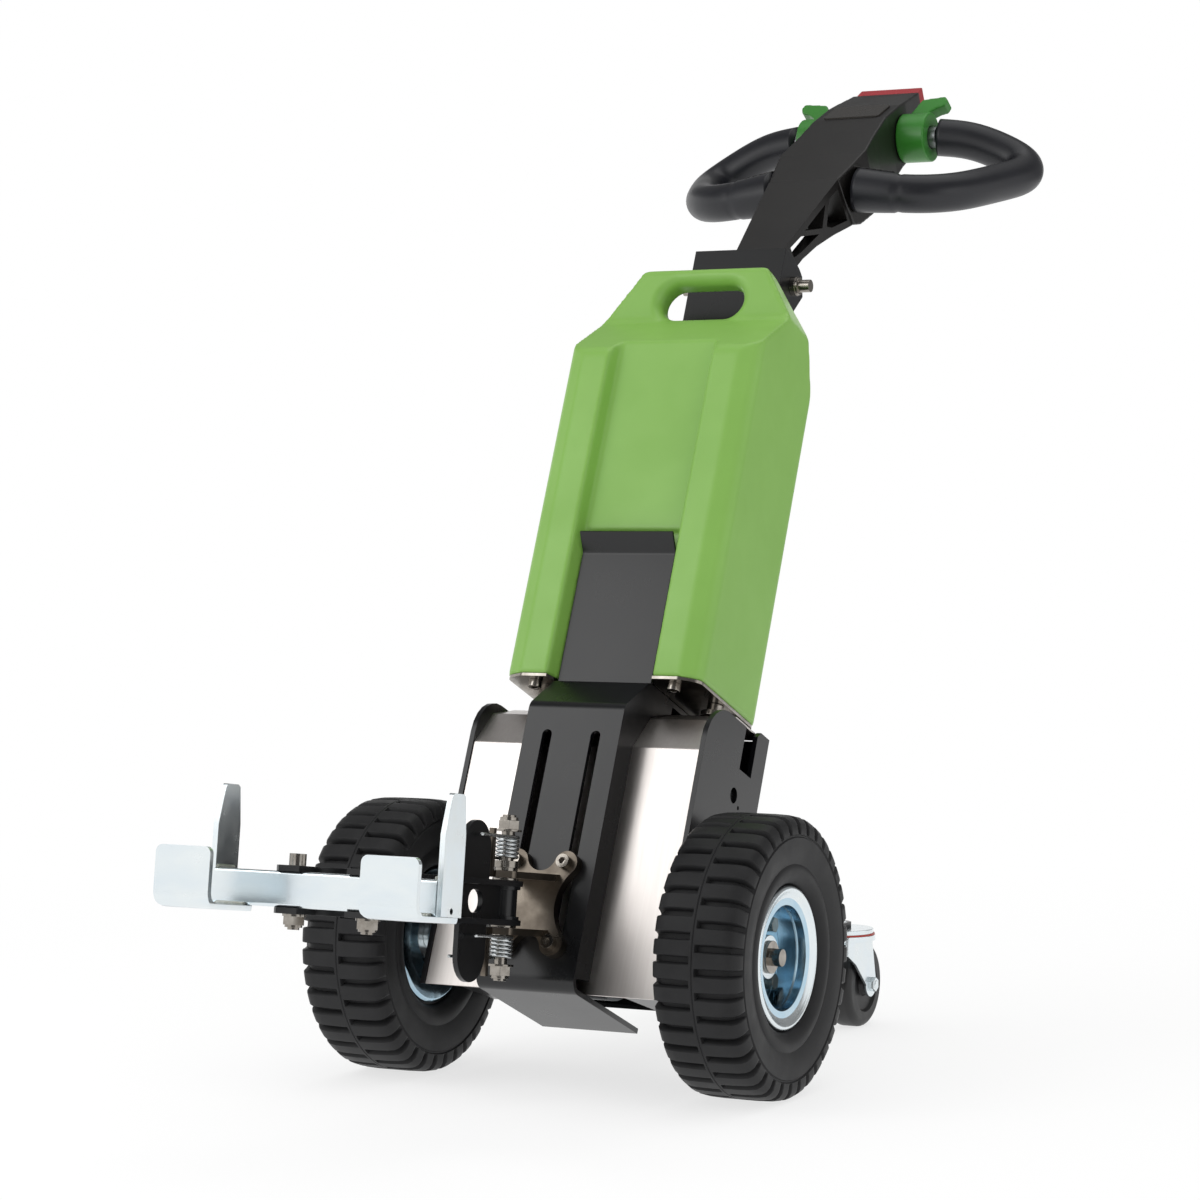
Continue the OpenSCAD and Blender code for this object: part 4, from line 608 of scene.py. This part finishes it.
# red dust seals of the castors
seal = {
    "section": [(30, 98.7), (33.6, 98.7), (34.4, 99.4), (34.4, 100.4), (33.6, 101), (30, 101)],
    "count": 64,
}
for side, label in bothSides:
    rings = [[Vector((r * math.cos(a), r * math.sin(a), z)) for r, z in seal["section"]]
             for a in [2 * math.pi * i / seal["count"] for i in range(seal["count"])]]
    verts, faces = skin(rings, wrapRows=True)
    place = turnedFrame((side * places["castorX"], places["castorY"], 0), 0)
    piece = makePiece("castorSeal." + label, verts, faces, place, materials["sealRed"],
                      "chassis")
    refineEdges(piece, 0, 0)
print("small pieces made")

# floor, light and camera
stage = {"floorRadius": 9, "floorPoints": 96, "paper": "#FBFBFB",
         "fadeFrom": 0.7, "fadeTo": 1.9, "fadeLow": 0.72,  # metres over which the paper turns to plain white
         "diffuseSky": 0.84}
floorMesh = bpy.data.meshes.new("floor")
turns = [2 * math.pi * i / stage["floorPoints"] for i in range(stage["floorPoints"])]
ring = [(stage["floorRadius"] * math.cos(a), stage["floorRadius"] * math.sin(a), 0) for a in turns]
floorMesh.from_pydata(ring, [], [tuple(range(len(ring)))])
floor = bpy.data.objects.new("floor", floorMesh)
bpy.context.scene.collection.objects.link(floor)
# matt white studio paper: keeps the object's shadow and fades into the white behind it
paper = bpy.data.materials.new("studioPaper")
paper.use_nodes = True
tree = paper.node_tree
base = tree.nodes["Principled BSDF"]
base.inputs["Base Color"].default_value = linear(stage["paper"])
base.inputs["Roughness"].default_value = 1
base.inputs["Specular IOR Level"].default_value = 0
where = addNode(tree, "ShaderNodeTexCoord")
away = addNode(tree, "ShaderNodeVectorMath", {"operation": "LENGTH"}, {0: (where, "Object")})
fade = addNode(tree, "ShaderNodeMapRange",
               {"interpolation_type": "SMOOTHSTEP", "From Min": stage["fadeFrom"], "From Max": stage["fadeTo"],
                "To Min": stage["fadeLow"]}, {"Value": (away, "Value")})
glow = addNode(tree, "ShaderNodeEmission", {"Color": (1, 1, 1, 1), "Strength": 1})
mixed = addNode(tree, "ShaderNodeMixShader", {}, {0: (fade, 0), 1: (base, 0), 2: (glow, 0)})
tree.links.new(mixed.outputs[0], tree.nodes["Material Output"].inputs["Surface"])
floorMesh.materials.append(paper)

world = bpy.data.worlds.new("studioWorld")
bpy.context.scene.world = world
world.use_nodes = True
tree = world.node_tree
tree.nodes.clear()
path = addNode(tree, "ShaderNodeLightPath")
seen = addNode(tree, "ShaderNodeMath", {"operation": "MAXIMUM"},
               {0: (path, "Is Camera Ray"), 1: (path, "Is Glossy Ray")})
through = addNode(tree, "ShaderNodeMath", {"operation": "MAXIMUM"},
                  {0: (seen, 0), 1: (path, "Is Transmission Ray")})
soft = addNode(tree, "ShaderNodeBackground", {"Color": (1, 1, 1, 1), "Strength": stage["diffuseSky"]})
plain = addNode(tree, "ShaderNodeBackground", {"Color": (1, 1, 1, 1), "Strength": 1})
both = addNode(tree, "ShaderNodeMixShader", {}, {0: (through, 0), 1: (soft, 0), 2: (plain, 0)})
addNode(tree, "ShaderNodeOutputWorld", {}, {"Surface": (both, 0)})

# grey cards that only reflections see: the studio's ceiling, the room behind the camera and the far right wall
cards = {
    "ceiling": {"at": (0, 0, 4.6), "half": (9, 9), "shade": "#7B7B7B"},
    "behind": {"at": (2.5, -4.9, 2.2), "half": (2.4, 2.2), "shade": "#616161"},
    "wall": {"at": (3.6, 6.3, 2), "half": (3.4, 2.2), "shade": "#8C8C8C"},
}
for name, card in cards.items():
    w, h = card["half"]
    mesh = bpy.data.meshes.new(name)
    mesh.from_pydata([(-w, -h, 0), (w, -h, 0), (w, h, 0), (-w, h, 0)], [], [(0, 1, 2, 3)])
    holder = bpy.data.objects.new(name, mesh)
    bpy.context.scene.collection.objects.link(holder)
    holder.location = card["at"]
    holder.rotation_mode = "QUATERNION"
    holder.rotation_quaternion = (Vector((0, 0, card["at"][2])) - Vector(card["at"])).to_track_quat("Z", "Y")
    if name == "ceiling":
        # it stands over the point that the others face, so it has no direction of its own
        holder.rotation_quaternion = (1, 0, 0, 0)
    holder.visible_camera = holder.visible_diffuse = holder.visible_shadow = holder.visible_transmission = False
    cloth = bpy.data.materials.new(name + "Cloth")
    cloth.use_nodes = True
    tree = cloth.node_tree
    dim = addNode(tree, "ShaderNodeEmission", {"Color": linear(card["shade"]), "Strength": 1})
    tree.links.new(dim.outputs[0], tree.nodes["Material Output"].inputs["Surface"])
    mesh.materials.append(cloth)

middle = Vector((0, 0, 0.45))  # the height that the lamps point at
lamps = {
    # small near softbox whose reflection grades the folded black sheets from light to dark
    "near": {"at": (-0.72, -1.05, 1.2), "size": (0.55, 0.6), "watts": 1.7},
    # softbox high in front and to the left, the main light of the front faces
    "key": {"at": (-1.9, -2.7, 2.6), "size": (2.8, 2.8), "watts": 23},
    # overhead softbox that draws the floor shadow
    "top": {"at": (0.2, 0.6, 3.4), "size": (2.6, 2.6), "watts": 18},
    # weak fill from the right
    "fill": {"at": (3.2, -1.2, 1.5), "size": (1.6, 1.6), "watts": 4},
}
for name, lamp in lamps.items():
    light = bpy.data.lights.new(name, "AREA")
    light.shape = "RECTANGLE"
    light.size, light.size_y = lamp["size"]
    light.energy = lamp["watts"]
    holder = bpy.data.objects.new(name, light)
    holder.location = lamp["at"]
    holder.rotation_mode = "QUATERNION"
    holder.rotation_quaternion = (middle - Vector(lamp["at"])).to_track_quat("-Z", "Y")
    holder.visible_camera = False
    bpy.context.scene.collection.objects.link(holder)

# the camera that was fitted to the photograph: its place in mm from the axle, its turns in degrees
eye = {"at": (1485.5, -2830.7, 534.1), "turn": 27.275, "down": 1.466, "lens": 102.798, "sensor": 36}
camera = bpy.data.objects.new("camera", bpy.data.cameras.new("camera"))
bpy.context.scene.collection.objects.link(camera)
camera.data.lens = eye["lens"]
camera.data.sensor_width = eye["sensor"]
camera.location = axleFrame @ Vector(eye["at"])
turn, down = math.radians(eye["turn"]), math.radians(eye["down"])
ahead = Vector((-math.sin(turn) * math.cos(down), math.cos(turn) * math.cos(down), -math.sin(down)))
camera.rotation_mode = "QUATERNION"
camera.rotation_quaternion = ahead.to_track_quat("-Z", "Y")
bpy.context.scene.camera = camera
bpy.context.scene.view_settings.view_transform = "Standard"
print("stage set")

bpy.context.view_layer.update()
